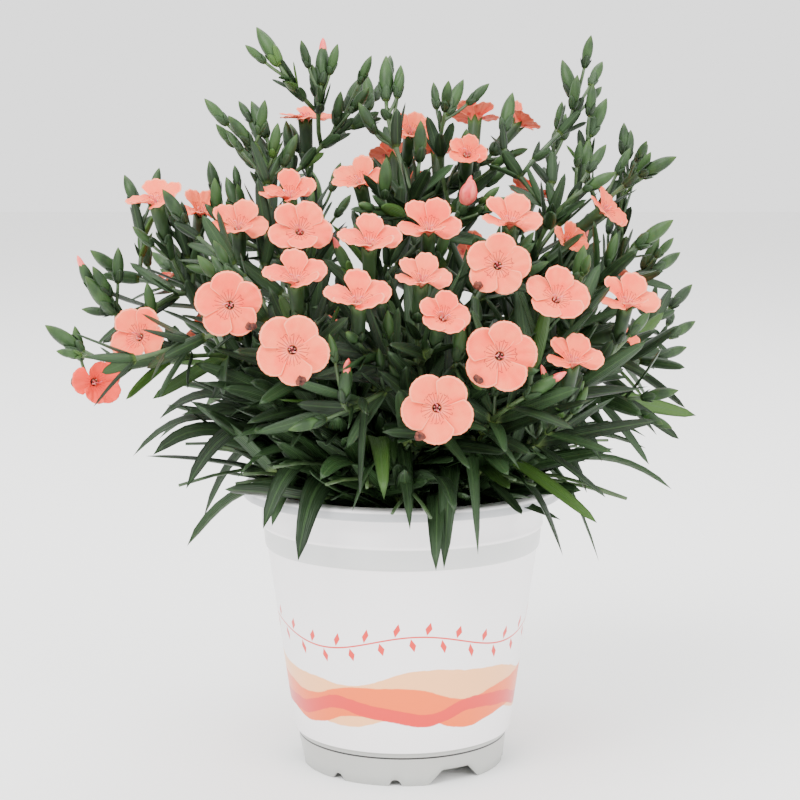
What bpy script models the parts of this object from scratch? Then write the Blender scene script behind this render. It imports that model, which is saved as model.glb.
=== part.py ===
# A dianthus in a round plastic pot: pot, compost, leafy stems with buds, and open blooms.
# The plan works in millimetres and comes to metres as each mesh is made.
# Z is up, the origin is the middle of the pot's standing face, and the front looks along -Y.

import math
import random

import bmesh
import bpy
import numpy as np
from mathutils.bvhtree import BVHTree

MM = 0.001
GAP = 0.3                    # clearance between pieces that rest on each other
CLEARANCE = 0.35             # a new stem, leaf or bloom stays this far from those of other pieces
SEED = 23

# Pot
POT_HEIGHT = 106.0
RIM_RADIUS = 60.0            # outside of the turned-over rim
RIM_INNER_RADIUS = 53.2
RIM_DROP = 4.0               # height of the rim's lip
STEP_HEIGHT = 83.0           # where the body widens into the collar
FOOT_RADIUS = 38.3
FLOOR_HEIGHT = 6.0           # underside of the raised floor
WALL = 1.0
POT_SEGMENTS = 32
ARCH_ANGLES = (31.0, 151.0, 271.0)     # wide gaps in the foot ring, from the front towards +X
ARCH_BOTTOM_DEG, ARCH_TOP_DEG, ARCH_RISE = 33.0, 17.0, 5.2
NOTCH_ANGLES = (-38.0, -4.0, 82.0, 116.0, 202.0, 236.0)
NOTCH_RADIUS, NOTCH_SIDES = 2.3, 8
DRAIN_RADIUS, DRAIN_RING, DRAIN_COUNT = 3.2, 27.0, 6
DRAIN_FIRST_DEG, DRAIN_SIDES = 7.0, 10
PROUD = 2.0                  # cutters stand this far out of what they cut

# Compost
SOIL_TOP = 95.0
SOIL_BUMP = 1.0
SOIL_WAVES = ((3, 0.21), (5, 0.4))     # lumps round the middle, and their turn per millimetre outwards
HOLE_DEPTH = 13.0
HOLE_PLAY = 0.4

# Front view, from which the hand-placed blooms, buds and leaves are read: a square picture of this eye
EYE = (-0.9, -713.0, 231.7)
EYE_PITCH_DEG = 7.57
FOCAL_PX = 1920.0
CENTRE_PX = 400.0

# Shoots: one in the middle, an inner ring and an outer ring
RINGS = ((1, 0.0, 0.0), (5, 0.50, 18.0), (9, 1.0, 0.0))    # shoots, share of the spread, first azimuth
STUB_RADIUS, STUB_SIDES, STUB_TAPER = 2.6, 6, 0.65
STUB_SPREAD = 25.0
HEAD_SPREAD = 105.0          # sideways reach of the blooms that the outer ring of shoots answers to
SHOOTS_TRIED = 5
STEM_BENDS = ((0.6, 0.0), (0.1, 0.0), (1.2, 0.0), (0.5, 0.5), (0.5, -0.5))      # rise, bow
STEM_RADIUS = 0.95
STEM_SIDES = 4
STEM_FOOT, STEM_NECK = 0.36, 0.30      # shares of its length that keep a stem's first and last direction
STEM_TAPER = 0.8             # its root's radius, as a share of its own
ROOT_SHARE = 0.1             # its first ring past the root, as a share of its length
# Up to these lengths a stem has swollen joints, which carry leaves, at these shares of its length
JOINTS = ((48.0, (0.52,)), (105.0, (0.34, 0.68)), (1000.0, (0.24, 0.48, 0.73)))
JOINT_SHIFT = 0.03
NODE_HEIGHT, NODE_SWELL = 1.8, 1.12
BOW_RANGE = (0.7, 1.3)

# Branches leave a joint that faces their head well enough, on the nearest of the hosts
ALONG_SHARE, OUT_SHARE = 0.2, 0.1
LEAST_BRANCH = 14.0
FACING_GAIN = 60.0           # how much nearer a side counts that looks straight at the head
HOSTS_TRIED = 10
BRANCH_KICK = 0.7            # how strongly a branch starts square to its host
CALYX_LENGTH, CALYX_RADIUS = 14.5, 2.7
CALYX_SHARES = ((0.0, 0.45), (0.18, 0.85), (1.0, 1.0))
CALYX_ROOM, CALYX_NECK = (1.6, 1.0, 0.0), 0.8              # lengths and narrow end that are kept free for it
BUD_LENGTH, BUD_RADIUS = 15.5, 2.45
BUD_SHARES = ((0.0, 0.40), (0.42, 1.0), (0.72, 0.76), (1.0, 0.0))

# A bloom: its petals' rim as (degrees from the petal's middle, share of the reach), and its throat
PETAL_RIM = ((-35, 0.66), (-26, 0.95), (-2, 0.98), (24, 0.97), (39, 0.66))
PETAL_THICKNESS = 1.0
PETAL_STRAY = (-5, 5)        # how far a bloom is turned from the petal's direction that is given, in degrees
PETAL_TILT = 0.11            # how far one side of a petal is raised over its neighbour
ROOT_RADIUS, ROOT_SPREAD = 2.6, 0.46
CORK, CORK_RADIUS = 2.2, 1.9           # the throat's plug, which rests on the mouth of the calyx
RIDGE_REACH, RIDGE_RISE = 0.29, 0.09   # where a petal's face is highest, as shares of the bloom's diameter
SHIFTS_TRIED, SHIFT = 24, 1.25         # steps in depth that clear a bloom of its neighbours

# Blooms: across and down in the picture, depth behind the pot's axis, turn, lift, diameter, cup, petal.
# Turn is where the bloom looks, 0 at the viewer and 90 to the right, and lift its rise above level. Petal
# is where one of its petals points, in degrees anticlockwise from the right.
FRONT_BLOOMS = (
    (155, 200, -20, -28, 66, 23.5, 0.34, 110), (201, 210, 22, 20, 60, 21.0, 0.52, 110),
    (238, 226, -30, 0, 56, 23.5, 0.46, 60), (305, 117, 30, -20, 82, 22.5, 0.20, 80),
    (289, 195, -18, -8, 60, 23.0, 0.55, 95), (300, 230, -52, 8, 36, 24.0, 0.34, 60),
    (359, 181, -6, -20, 55, 23.0, 0.50, 80), (369, 243, -58, 0, 60, 25.0, 0.55, 92),
    (411, 131, 26, 10, 52, 19.0, 0.44, 60), (392, 154, 52, 190, 62, 19.0, 0.40, 70),
    (475, 117, 42, 172, 66, 20.5, 0.40, 60), (519, 122, 34, 115, 46, 19.0, 0.62, 90),
    (467, 153, 4, 0, 40, 16.5, 0.50, 75), (438, 151, 50, 180, 60, 17.0, 0.50, 90),
    (429, 228, -48, 4, 56, 25.0, 0.55, 54), (510, 221, -42, 6, 60, 24.0, 0.55, 58),
    (498, 265, -74, 0, 12, 23.0, 0.16, 80), (557, 298, -72, 16, 38, 24.5, 0.34, 75),
    (627, 302, -46, 16, 60, 25.0, 0.55, 58), (621, 331, -8, 75, 20, 22.0, 0.50, 90),
    (606, 209, -4, 62, 36, 20.5, 0.30, 90), (567, 239, 2, 30, 35, 17.0, 0.66, 80),
    (295, 279, -72, -4, 60, 25.0, 0.55, 92), (358, 300, -86, 0, 60, 25.0, 0.55, 92),
    (422, 279, -78, 10, 60, 21.5, 0.55, 58), (229, 305, -76, -6, 8, 24.5, 0.16, 95),
    (292, 350, -94, -2, 6, 25.5, 0.16, 60), (444, 316, -92, 14, 40, 18.5, 0.34, 75),
    (500, 356, -92, 4, 6, 25.5, 0.16, 75), (573, 360, -78, 12, 60, 22.0, 0.55, 58),
    (437, 408, -98, 2, 6, 25.5, 0.16, 50), (138, 336, -50, -24, 24, 23.0, 0.28, 62),
    (96, 382, -52, 34, 6, 20.0, 0.62, 100),
)

# Buds on their own stems: across, down, depth, lean of the tip to the right, length
FRONT_BUDS = (
    (268, 46, 2, -32, 17.5), (322, 64, 12, 2, 16.5), (353, 95, 24, 22, 15.0), (386, 78, 6, 0, 17.5),
    (368, 92, 34, -4, 14.5), (455, 97, 12, 26, 15.5), (508, 112, 14, 14, 16.0), (568, 79, 16, -16, 16.0),
    (598, 117, 8, 26, 16.5), (560, 131, 30, 20, 15.0), (658, 166, 0, 62, 15.5), (640, 157, 16, 34, 12.0),
    (600, 181, -28, 60, 13.5), (655, 233, -24, 52, 16.5), (666, 262, 26, 58, 14.5),
    (681, 296, 84, 46, 14.5), (682, 329, 74, 62, 14.0), (672, 352, 40, 74, 13.5),
    (660, 394, -22, 76, 14.0), (64, 338, -78, -52, 15.5), (100, 295, -34, -34, 17.5),
    (106, 262, 0, -50, 15.0), (144, 247, 10, -14, 15.0), (131, 191, 14, -24, 14.0),
    (174, 206, -46, -32, 14.5), (216, 196, -12, -2, 14.0), (232, 194, 14, -20, 14.5),
    (259, 119, 24, -24, 16.0), (240, 130, -6, -38, 14.0), (245, 155, 12, -44, 13.5),
    (291, 95, 40, -40, 12.5), (420, 141, -16, 2, 15.5), (385, 178, -24, 4, 15.5),
    (466, 200, -14, 18, 12.5), (580, 266, -48, 8, 16.0), (460, 342, -76, 8, 14.5),
    (543, 386, -84, 56, 15.0), (345, 384, -88, 6, 14.0), (388, 328, -74, 0, 13.0),
    (558, 398, -66, 4, 12.5),
)
BUD_NOD_DEG = 18.0           # how far those buds lean out of the picture's plane, away from the middle

# The hidden side follows rules: blooms and buds spread over the crown's dome, as azimuth and elevation
DOME_CENTRE_HEIGHT, DOME_RADIUS, DOME_RISE = 148.0, 93.0, 90.0
BACK_BLOOMS = (
    (100, 18), (128, 46), (132, 8), (160, 26), (182, 52), (196, 10), (222, 34), (240, 6), (262, 24),
)
BACK_BLOOM_SIZE = 24.0
BACK_TURN, BACK_LIFT = 12.0, (18.0, 42.0)
BACK_FOLLOW = 0.6            # share of its elevation that a back bloom's lift follows
BACK_SIZES, BACK_CUPS = (0.92, 1.04), (0.18, 0.42)
BACK_BUDS = (
    (92, 50), (112, 30), (146, 64), (147, 18), (172, 4), (178, 34), (206, 40), (214, 16), (232, 58),
    (246, 22), (252, 44), (278, 36),
)
BACK_BUD_LIFT, BACK_BUD_TOP = 32, 80
BACK_BUD_SIZES = (0.85, 1.05)
BUD_REACH = 1.13             # the back buds stand out this much further than the blooms
CROWN_REACH = 112.0          # how far from the axis a leaf's tip may go, along X or Y

# Long leaves that hang over the rim: across and down of the tip, its depth, arch, half width
FRONT_LEAVES = (
    (298, 561, -72, 34, 3.3), (263, 529, -66, 38, 2.9), (272, 526, -50, 30, 2.8), (186, 489, -40, 44, 3.0),
    (237, 478, -62, 20, 2.2), (455, 514, -94, 26, 3.3), (436, 571, -84, 42, 2.7), (444, 569, -78, 46, 2.9),
    (478, 555, -70, 34, 2.8), (563, 556, -62, 36, 3.2), (587, 493, -40, 40, 3.1), (320, 480, -90, 22, 2.8),
    (352, 512, -78, 28, 2.6), (520, 470, -86, 24, 2.8), (153, 455, -28, 30, 2.5), (646, 437, -20, 26, 2.4),
    (384, 500, -92, 24, 2.7), (232, 440, -62, 22, 2.7), (602, 462, -50, 26, 2.7), (410, 530, -66, 36, 2.5),
)
SKIRT_COUNT = 20             # more of them, round the sides and the back
SKIRT_FIRST_DEG, SKIRT_SPAN_DEG = 62.0, 236.0
SKIRT_TIPS = ((98, 112), (82, 84), (110, 128))             # reach and height, in turn
SKIRT_STRAY = ((-3, 3), (-8, 8), (-6, 10))                 # in azimuth, reach and height
SKIRT_ARCH = (24, 42)
ARCH_STEP = 2.0              # change of arch from try to try
TUFT_COUNT, TUFT_STEP_DEG = 34, 137.5                      # shorter ones that stand up between them
TUFT_REACH, TUFT_HEIGHT, TUFT_ARCH = (52, 84), (128, 152), (8, 22)
LOW_COUNT, LOW_FIRST_DEG = 150, 30.0                       # low ones that lean out over the rim, where
LOW_REACH, LOW_HEIGHT, LOW_ARCH = (56, 100), (106, 136), (4, 26)       # the others leave room
LONG_HALF_WIDTHS = (2.4, 3.2)
LONG_ROOT = 0.7              # where its root sits, as a share of the foot's radius
LONG_BEND = 0.55             # where such a leaf bends, as a share of its way out
LONG_KICK = 4.0              # how far it first follows the way its root faces
LONG_RISE, LONG_ARCH = 0.6, 1.15
LEAST_FACING = 0.4           # cosine between its way and its root's, at least
LONG_LEAF = ((0.0, 0.35), (0.38, 1.0), (0.74, 0.74), (1.0, 0.0))    # share of the length, share of the width
STUB_LEVELS = (1.0, 3.4, 5.8, 8.2)     # heights above the compost that these leaves sprout between
HANGING_LEVELS, LOW_LEVELS = (1, 2), (3, 2, 1)             # which of those steps, in the order tried

# Leaves at the joints of the stems, in opposite pairs that turn by a quarter from joint to joint
STEM_LEAF = ((0.0, 0.4), (0.46, 1.0), (1.0, 0.0))
LEAF_REACHES = (15.0, 150.0)           # from here to there, out of the compost, leaves go from the first
LEAF_LENGTHS = (58.0, 14.0)            # size to the second
LEAF_HALF_WIDTHS = (3.0, 1.5)
LEAF_LENGTH_RANGE, LEAF_WIDTH_RANGE = (0.8, 1.15), (0.9, 1.1)
LEAF_TWIST = 0.3             # how far a leaf's way strays round its stem
LEAF_SPREAD = (26, 50)       # degrees from its stem
LEAF_TIP, LEAF_CURL = 0.96, (0.06, 0.28)                   # a tip's reach and its outward curl, by length
LEAF_ROUNDS = 2              # the second round adds leaves on the sides between the pairs
KEEL = 0.42                  # depth of a blade's keel, as a share of its half width
LEAST_KEEL = 0.7
TRIES = 8                    # places tried for a leaf before it is left out
TOUCH = 0.1                  # what grows from a host stays this far from it, past these shares of its length
STEM_FREE, STEM_CLEAR, LEAF_CLEAR = 0.02, 0.25, 0.18


def unit(v):
    """v at length 1."""
    return v / np.linalg.norm(v)


def vec(*values):
    """A point or direction."""
    return np.array(values, float)


def seen_at(across, down, depth):
    """The point that the front view shows at this place of its picture, at this depth."""
    pitch = math.radians(EYE_PITCH_DEG)
    right = (across - CENTRE_PX) / FOCAL_PX
    rise = (CENTRE_PX - down) / FOCAL_PX
    ray = vec(right, math.cos(pitch) + rise * math.sin(pitch), rise * math.cos(pitch) - math.sin(pitch))
    eye = vec(*EYE)
    return eye + ray * (depth - eye[1]) / ray[1]


def looking(turn, lift=0.0):
    """The direction of something that looks turn degrees right of the viewer and lift above level."""
    turn, lift = math.radians(turn), math.radians(lift)
    return vec(math.sin(turn) * math.cos(lift), -math.cos(turn) * math.cos(lift), math.sin(lift))


def on_dome(azimuth, elevation, reach=1.0):
    """A point of the crown's dome."""
    out = looking(azimuth, elevation) * vec(DOME_RADIUS, DOME_RADIUS, DOME_RISE) * reach
    return out + vec(0, 0, DOME_CENTRE_HEIGHT)


def bezier(points, shares):
    """Points of the Bezier curve with these control points, at these shares of its parameter."""
    order = len(points) - 1
    t = np.asarray(shares, float)[:, None]
    return sum(math.comb(order, k) * (1 - t) ** (order - k) * t**k * p for k, p in enumerate(points))


def tangents(line):
    """Unit directions along a line of points."""
    return [unit(v) for v in np.gradient(line, axis=0)]


def extend(points, ring):
    """Adds a ring of points and returns their numbers."""
    points.extend(ring)
    return range(len(points) - len(ring), len(points))


def grow(points, faces, low, rings, grown=None):
    """Lofts on from the corners low through further rings, the last of which may be a tip, and caps the end.

    Rings have equal size. grown names what grows in place of a side: (rings passed, place on the ring).
    """
    for level, ring in enumerate(rings):
        high = extend(points, ring)
        for k in range(max(len(low), len(high))):
            a, b = low[k % len(low)], low[(k + 1) % len(low)]
            c, d = high[(k + 1) % len(high)], high[k % len(high)]
            child = (grown or {}).get((level, k))
            if child is None:
                faces += [face for face in ((a, b, c), (a, c, d)) if len(set(face)) == 3]
            elif child["kind"] == "leaf":
                grow_leaf(points, faces, (a, b, c, d), leaf_rings(child)[1:])
            else:
                grow(points, faces, (a, b, c, d), stem_rings(child)[1:], child["grown"])
        low = high
    faces += [(low[0], low[k], low[k + 1]) for k in range(1, len(low) - 1)]


def grow_leaf(points, faces, corners, rings):
    """A blade that grows out of the side a, b, c, d of a stem, where a and b are the lower corners."""
    a, b, c, d = corners
    right, left, keel = first = extend(points, rings[0])
    faces += [(c, d, left), (c, left, right), (d, a, keel), (d, keel, left)]
    faces += [(a, b, keel), (b, c, right), (b, right, keel)]
    grow(points, faces, first, rings[1:])


def loft(rings, grown=None):
    """A closed mesh through rings of points, with what grows on its sides."""
    points, faces = [], []
    first = extend(points, rings[0])
    faces += [(first[0], first[k + 1], first[k]) for k in range(1, len(first) - 1)]
    grow(points, faces, first, rings[1:], grown)
    return np.array(points), faces


def frames(line, across):
    """At each point of a line, its direction and two directions square to it, the first close to across."""
    found = []
    for along in tangents(line):
        u = unit(across - along * (across @ along))
        found.append((along, u, np.cross(along, u)))
    return found


def rings_round(line, radii, sides, across):
    """Regular rings of points round a line; a radius of 0 makes a tip."""
    angles = [2 * math.pi * (k + 0.5) / sides for k in range(sides)]
    rings = []
    for point, radius, (_, u, v) in zip(line, radii, frames(line, across)):
        ring = [point + radius * (math.cos(a) * u + math.sin(a) * v) for a in angles]
        rings.append(ring if radius else [point])
    return rings


def tube(line, radii, sides, across):
    """A loft of regular rings along a line."""
    return loft(rings_round(line, radii, sides, across))


def post(x, y, low, high, radius, sides):
    """An upright prism."""
    return tube(np.array([[x, y, low], [x, y, high]]), (radius, radius), sides, vec(1, 0, 0))


def place(points, at, look):
    """Local points, with +Z along look, brought to at."""
    reference = vec(0, 0, 1) if abs(look[2]) < 0.95 else vec(0, 1, 0)
    x = unit(np.cross(reference, look))
    y = np.cross(look, x)
    return at + points[:, :1] * x + points[:, 1:2] * y + points[:, 2:3] * look


def petal_outline(size, cup):
    """One petal's rim about +X, from its left root to its right root."""
    points = []
    for degrees, share in PETAL_RIM:
        angle, r = math.radians(degrees), size / 2 * share
        tilt = PETAL_TILT * math.sin(angle) * r          # the left edge passes under its neighbour
        points.append((r * math.cos(angle), r * math.sin(angle), cup * (r - ROOT_RADIUS) * share + tilt))
    x, y = ROOT_RADIUS * math.cos(ROOT_SPREAD), ROOT_RADIUS * math.sin(ROOT_SPREAD)
    return [(x, -y, 0.0)] + points + [(x, y, 0.0)]


def corolla(bloom, grow=0.0):
    """Five overlapping petals round a throat, one closed body; each side of a petal is a fan."""
    size, cup = bloom["size"], bloom["cup"]
    half = PETAL_THICKNESS / 2 + grow
    points, faces, petals = [(0.0, 0.0, half)], [], []
    for k in range(5):
        turn = 2 * math.pi * k / 5 + bloom["spin"]
        c, s = math.cos(turn), math.sin(turn)
        outline = petal_outline(size, cup)
        middle, level = size * RIDGE_REACH, cup * size * RIDGE_RISE
        centres = [(middle, 0.0, level + half), (middle, 0.0, level - half), (CORK_RADIUS + grow, 0.0, -CORK)]
        rim = range(len(points), len(points) + len(outline))
        points += [(c * x - s * y, s * x + c * y, z) for x, y, z in outline + centres]
        petals.append((rim, rim[-1] + 1))
    for k, (rim, upper) in enumerate(petals):
        lower, foot = upper + 1, upper + 2
        next_rim, next_upper = petals[(k + 1) % 5]
        for a, b in zip(rim, rim[1:]):
            faces += [(upper, a, b), (lower, b, a)]
        faces += [(upper, rim[-1], 0), (upper, 0, rim[0]), (0, rim[-1], next_rim[0])]
        faces += [(lower, foot, rim[-1]), (lower, rim[0], foot)]
        faces += [(rim[-1], foot, next_rim[0]), (foot, next_upper + 2, next_rim[0])]
    feet = [upper + 2 for _, upper in petals]
    faces += [(feet[0], feet[k + 1], feet[k]) for k in range(1, 4)]
    return place(np.array(points), bloom["at"], bloom["look"]), faces


def calyx(bloom, grow=0.0):
    """The room that a bloom's calyx and the end of its stem take, kept free until the stem is planned."""
    mouth = bloom["at"] - bloom["look"] * (CORK + GAP)
    line = np.array([mouth - bloom["look"] * CALYX_LENGTH * share for share in CALYX_ROOM])
    radii = [radius + grow for radius in (STEM_RADIUS, CALYX_RADIUS * CALYX_NECK, CALYX_RADIUS)]
    return tube(line, radii, STEM_SIDES, unit(np.cross(bloom["look"], vec(0.2, 0.3, 0.9))))


def head_foot(head):
    """Where a head's stem ends and its calyx or bud begins."""
    behind = CALYX_LENGTH + CORK + GAP if head["kind"] == "bloom" else head["size"] / 2
    return head["at"] - head["look"] * behind


def stem_line(stem, shares):
    """The centreline of a stem, from where it starts to its head's foot."""
    start, foot, look = stem["start"], head_foot(stem["head"]), stem["head"]["look"]
    reach = np.linalg.norm(foot - start)
    first = unit(vec(0, 0, 1) * stem["lean"] + unit(foot - start) + stem["bow"])
    return bezier((start, start + first * reach * STEM_FOOT, foot - look * reach * STEM_NECK, foot), shares)


def stem_course(stem, swell=0.0, first=0.0):
    """The points and radii that a stem is lofted through, its calyx or bud last, from share first on."""
    head, foot = stem["head"], head_foot(stem["head"])
    half = NODE_HEIGHT / 2 / np.linalg.norm(foot - stem["start"])
    shares = [0.0, ROOT_SHARE] + [node + sign * half for node in stem["joints"] for sign in (-1, 1)]
    line = list(stem_line(stem, [max(first + 0.001 * k, share) for k, share in enumerate(shares)]))
    radii = [STEM_RADIUS * STEM_TAPER, STEM_RADIUS] + [STEM_RADIUS * NODE_SWELL] * (len(shares) - 2)
    radii = [radius + swell for radius in radii]
    if head["kind"] == "bloom":
        length, radius, steps = CALYX_LENGTH, CALYX_RADIUS, CALYX_SHARES
    else:
        length, radius, steps = head["size"], BUD_RADIUS * head["size"] / BUD_LENGTH, BUD_SHARES
    for share, width in steps:
        line.append(foot + head["look"] * length * share)
        radii.append(radius * width + swell if width else 0.0)
    return np.array(line), radii


def stem_rings(stem, swell=0.0, first=0.0):
    """A stem's rings, from its root to the mouth of its calyx or the tip of its bud."""
    return rings_round(*stem_course(stem, swell, first), STEM_SIDES, stem["across"])


def stub_mesh(shoot):
    """A shoot's foot, which stands in the compost, with the long leaves that its sides carry."""
    heights = [SOIL_TOP + rise for rise in (-HOLE_DEPTH,) + STUB_LEVELS]
    line = np.array([shoot["foot"] + vec(0, 0, z) for z in heights])
    radii = [STUB_RADIUS] * (len(line) - 1) + [STUB_RADIUS * STUB_TAPER]
    return loft(rings_round(line, radii, STUB_SIDES, vec(1, 0, 0)), shoot["grown"])


def main_stem_mesh(shoot):
    """A shoot's main stem with all that grows on it."""
    return loft(stem_rings(shoot["stem"]), shoot["stem"]["grown"])


def leaf_rings(leaf, swell=0.0, first=0.0):
    """A blade's sections, each of two edges and a keel, from its root, or from share first, to its tip."""
    line = bezier(leaf["curve"], [max(share, first) for share, _ in leaf["stations"]])
    rings = []
    for point, along, (_, width) in zip(line, tangents(line), leaf["stations"]):
        side = unit(leaf["across"] - along * (leaf["across"] @ along))
        face = np.cross(side, along)
        half = leaf["half_width"] * width
        deep = max(LEAST_KEEL, half * KEEL) + swell
        ring = [point - side * (half + swell), point + side * (half + swell), point - face * deep]
        rings.append(ring if width else [point + along * swell])
    return rings


class Thicket:
    """What has been placed so far, to keep new pieces clear of it."""

    def __init__(self):
        self.placed = {}

    def put(self, name, mesh, node):
        """Takes note of a placed mesh, in place of the one of that name."""
        points, faces = mesh
        self.placed[name] = (BVHTree.FromPolygons(points.tolist(), faces), points.min(0), points.max(0), node)

    def clear(self, mesh, *besides):
        """Whether the mesh meets nothing placed, besides what belongs to those nodes."""
        points, faces = mesh
        low, high = points.min(0), points.max(0)
        tree = None
        for other, other_low, other_high, node in self.placed.values():
            if node in besides or (low > other_high).any() or (high < other_low).any():
                continue
            tree = tree or BVHTree.FromPolygons(points.tolist(), faces)
            if tree.overlap(other):
                return False
        return True


def plan_shoots():
    """The shoots: name, place on the unit disc, and foot on the compost."""
    found = []
    for count, share, first in RINGS:
        for k in range(count):
            disc = looking(first + 360 * k / count) * share
            name = f"leafy_stem_{len(found) + 1:02d}"
            found.append({"node": name, "disc": disc, "foot": disc * STUB_SPREAD})
            found[-1].update(grown={}, stem=None, stems=[], own=[])
    return found


def plan_heads(rng):
    """Every bloom, and every bud that ends a stem, with its place and where it looks."""
    heads = []
    for across, down, depth, turn, lift, size, cup, petal in FRONT_BLOOMS:
        heads.append({
            "kind": "bloom", "at": seen_at(across, down, depth), "look": looking(turn, lift), "size": size,
            "cup": cup, "spin": math.radians(petal + rng.uniform(*PETAL_STRAY)),
        })
    for azimuth, elevation in BACK_BLOOMS:
        heads.append({
            "kind": "bloom", "at": on_dome(azimuth, elevation), "spin": rng.uniform(0, 2 * math.pi / 5),
            "look": looking(azimuth + rng.uniform(-BACK_TURN, BACK_TURN),
                            elevation * BACK_FOLLOW + rng.uniform(*BACK_LIFT)),
            "size": BACK_BLOOM_SIZE * rng.uniform(*BACK_SIZES), "cup": rng.uniform(*BACK_CUPS),
        })
    for across, down, depth, lean, length in FRONT_BUDS:
        turn, nod = math.radians(lean), math.radians(BUD_NOD_DEG if depth > 0 else -BUD_NOD_DEG)
        look = vec(math.sin(turn) * math.cos(nod), math.sin(nod), math.cos(turn) * math.cos(nod))
        heads.append({"kind": "bud", "at": seen_at(across, down, depth), "look": look, "size": length})
    for azimuth, elevation in BACK_BUDS:
        look = looking(azimuth, min(BACK_BUD_TOP, elevation + BACK_BUD_LIFT))
        at = on_dome(azimuth, elevation, BUD_REACH)
        size = BUD_LENGTH * rng.uniform(*BACK_BUD_SIZES)
        heads.append({"kind": "bud", "at": at, "look": look, "size": size})
    return heads


def place_blooms(blooms, thicket):
    """Sets each bloom at the nearest depth where it and its calyx are clear of the others."""
    for number, bloom in enumerate(blooms, 1):
        bloom["node"] = f"bloom_{number:02d}"
        start = bloom["at"]
        for attempt in range(SHIFTS_TRIED):
            bloom["at"] = start + vec(0, 1, 0) * (SHIFT * attempt * (-1 if attempt % 2 else 1))
            if thicket.clear(corolla(bloom, CLEARANCE)) and thicket.clear(calyx(bloom, CLEARANCE)):
                break
        else:
            print("no clear place for", bloom["node"])
        thicket.put(bloom["node"], corolla(bloom), bloom["node"])
        thicket.put(bloom["node"] + "_calyx", calyx(bloom), bloom["node"] + "_calyx")


def crosses_itself(mesh):
    """Whether faces of the mesh that share no corner meet."""
    points, faces = mesh
    tree = BVHTree.FromPolygons(points.tolist(), faces)
    return any(a < b and not set(faces[a]) & set(faces[b]) for a, b in tree.overlap(tree))


def new_stem(head, shoot, start, away, bend, spin_axis, rng):
    """A stem to a head, which leaves its start the way that away points."""
    lean, bow = bend
    across = unit(np.cross(head["at"] - start, vec(0, 0, 1))) * bow * rng.uniform(*BOW_RANGE)
    stem = {"kind": "stem", "head": head, "start": start, "lean": lean, "bow": across + away, "shoot": shoot}
    reach = np.linalg.norm(head_foot(head) - start)
    joints = next(shares for length, shares in JOINTS if reach < length)
    stem["joints"] = [share + rng.uniform(-JOINT_SHIFT, JOINT_SHIFT) for share in joints]
    stem["across"], stem["grown"], stem["node"] = spin_axis, {}, shoot["node"]
    return stem


def joint_sides(stem):
    """The free sides of a stem's joints: place on the stem, middle, outward and upward directions."""
    line, radii = stem_course(stem)
    directions = frames(line, stem["across"])
    for joint in range(len(stem["joints"])):
        level = 2 + 2 * joint
        along, u, v = directions[level]
        for side, out in enumerate((v, -u, -v, u)):
            if (level, side) not in stem["grown"]:
                at = (line[level] + line[level + 1]) / 2 + out * radii[level] * math.sqrt(0.5)
                yield (level, side), at, out, along


def ways_to(head, shoots, rng):
    """Stems that could carry a head, on the nearer shoots: the main one, or a branch from a joint."""
    spread = head["at"] * vec(1, 1, 0) / HEAD_SPREAD
    for shoot in sorted(shoots, key=lambda s: np.linalg.norm(s["disc"] - spread))[:SHOOTS_TRIED]:
        if not shoot["stem"]:
            for bend in STEM_BENDS:
                start = shoot["foot"] + vec(0, 0, SOIL_TOP + 1)
                yield new_stem(head, shoot, start, vec(0, 0, 0), bend, vec(1, 0.2, 0), rng), None, None
            continue
        options = []
        for host in shoot["stems"]:
            for place, at, out, along in joint_sides(host):
                reach = np.linalg.norm(head_foot(head) - at)
                way = (head_foot(head) - at) / reach
                if way @ along > ALONG_SHARE and way @ out > OUT_SHARE and reach > LEAST_BRANCH:
                    cost = reach - FACING_GAIN * (way @ out)
                    options.append((cost, len(options), host, place, at, out, along))
        for _, _, host, place, at, out, along in sorted(options)[:HOSTS_TRIED]:
            for bend in STEM_BENDS:
                kick = out * BRANCH_KICK
                yield new_stem(head, shoot, at, kick, bend, np.cross(out, along), rng), host, place


def plan_stems(heads, shoots, thicket, rng):
    """A stem for each head, blooms before buds, each clear of what is there already."""
    count = 0
    middle = vec(0, 0, SOIL_TOP)
    for head in sorted(heads, key=lambda h: (h["kind"] == "bud", np.linalg.norm(h["at"] - middle))):
        own_calyx = head.get("node", "") + "_calyx"
        for stem, host, place in ways_to(head, shoots, rng):
            shoot = stem["shoot"]
            if not thicket.clear(loft(stem_rings(stem, CLEARANCE, STEM_FREE)), stem["node"], own_calyx):
                continue
            if not thicket.clear(loft(stem_rings(stem, TOUCH, STEM_CLEAR)), own_calyx):
                continue
            if host is None:
                shoot["stem"] = stem
                break
            host["grown"][place] = stem
            mesh = main_stem_mesh(shoot)
            if not crosses_itself(mesh) and thicket.clear(mesh, stem["node"], own_calyx, *shoot["own"]):
                break
            del host["grown"][place]
        else:
            print("no clear way for a", head["kind"], np.round(head["at"]))
            continue
        shoot["stems"].append(stem)
        shoot["own"].append(own_calyx)
        thicket.put(shoot["node"] + "_stem", main_stem_mesh(shoot), shoot["node"])
        count += 1
    return count


def graded(at, sizes):
    """A leaf's size, by how far from the middle of the compost it grows."""
    near, far = LEAF_REACHES
    reach = np.linalg.norm(at - vec(0, 0, SOIL_TOP))
    share = min(1.0, max(0.0, (reach - near) / (far - near)))
    return sizes[0] + (sizes[1] - sizes[0]) * share


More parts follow.
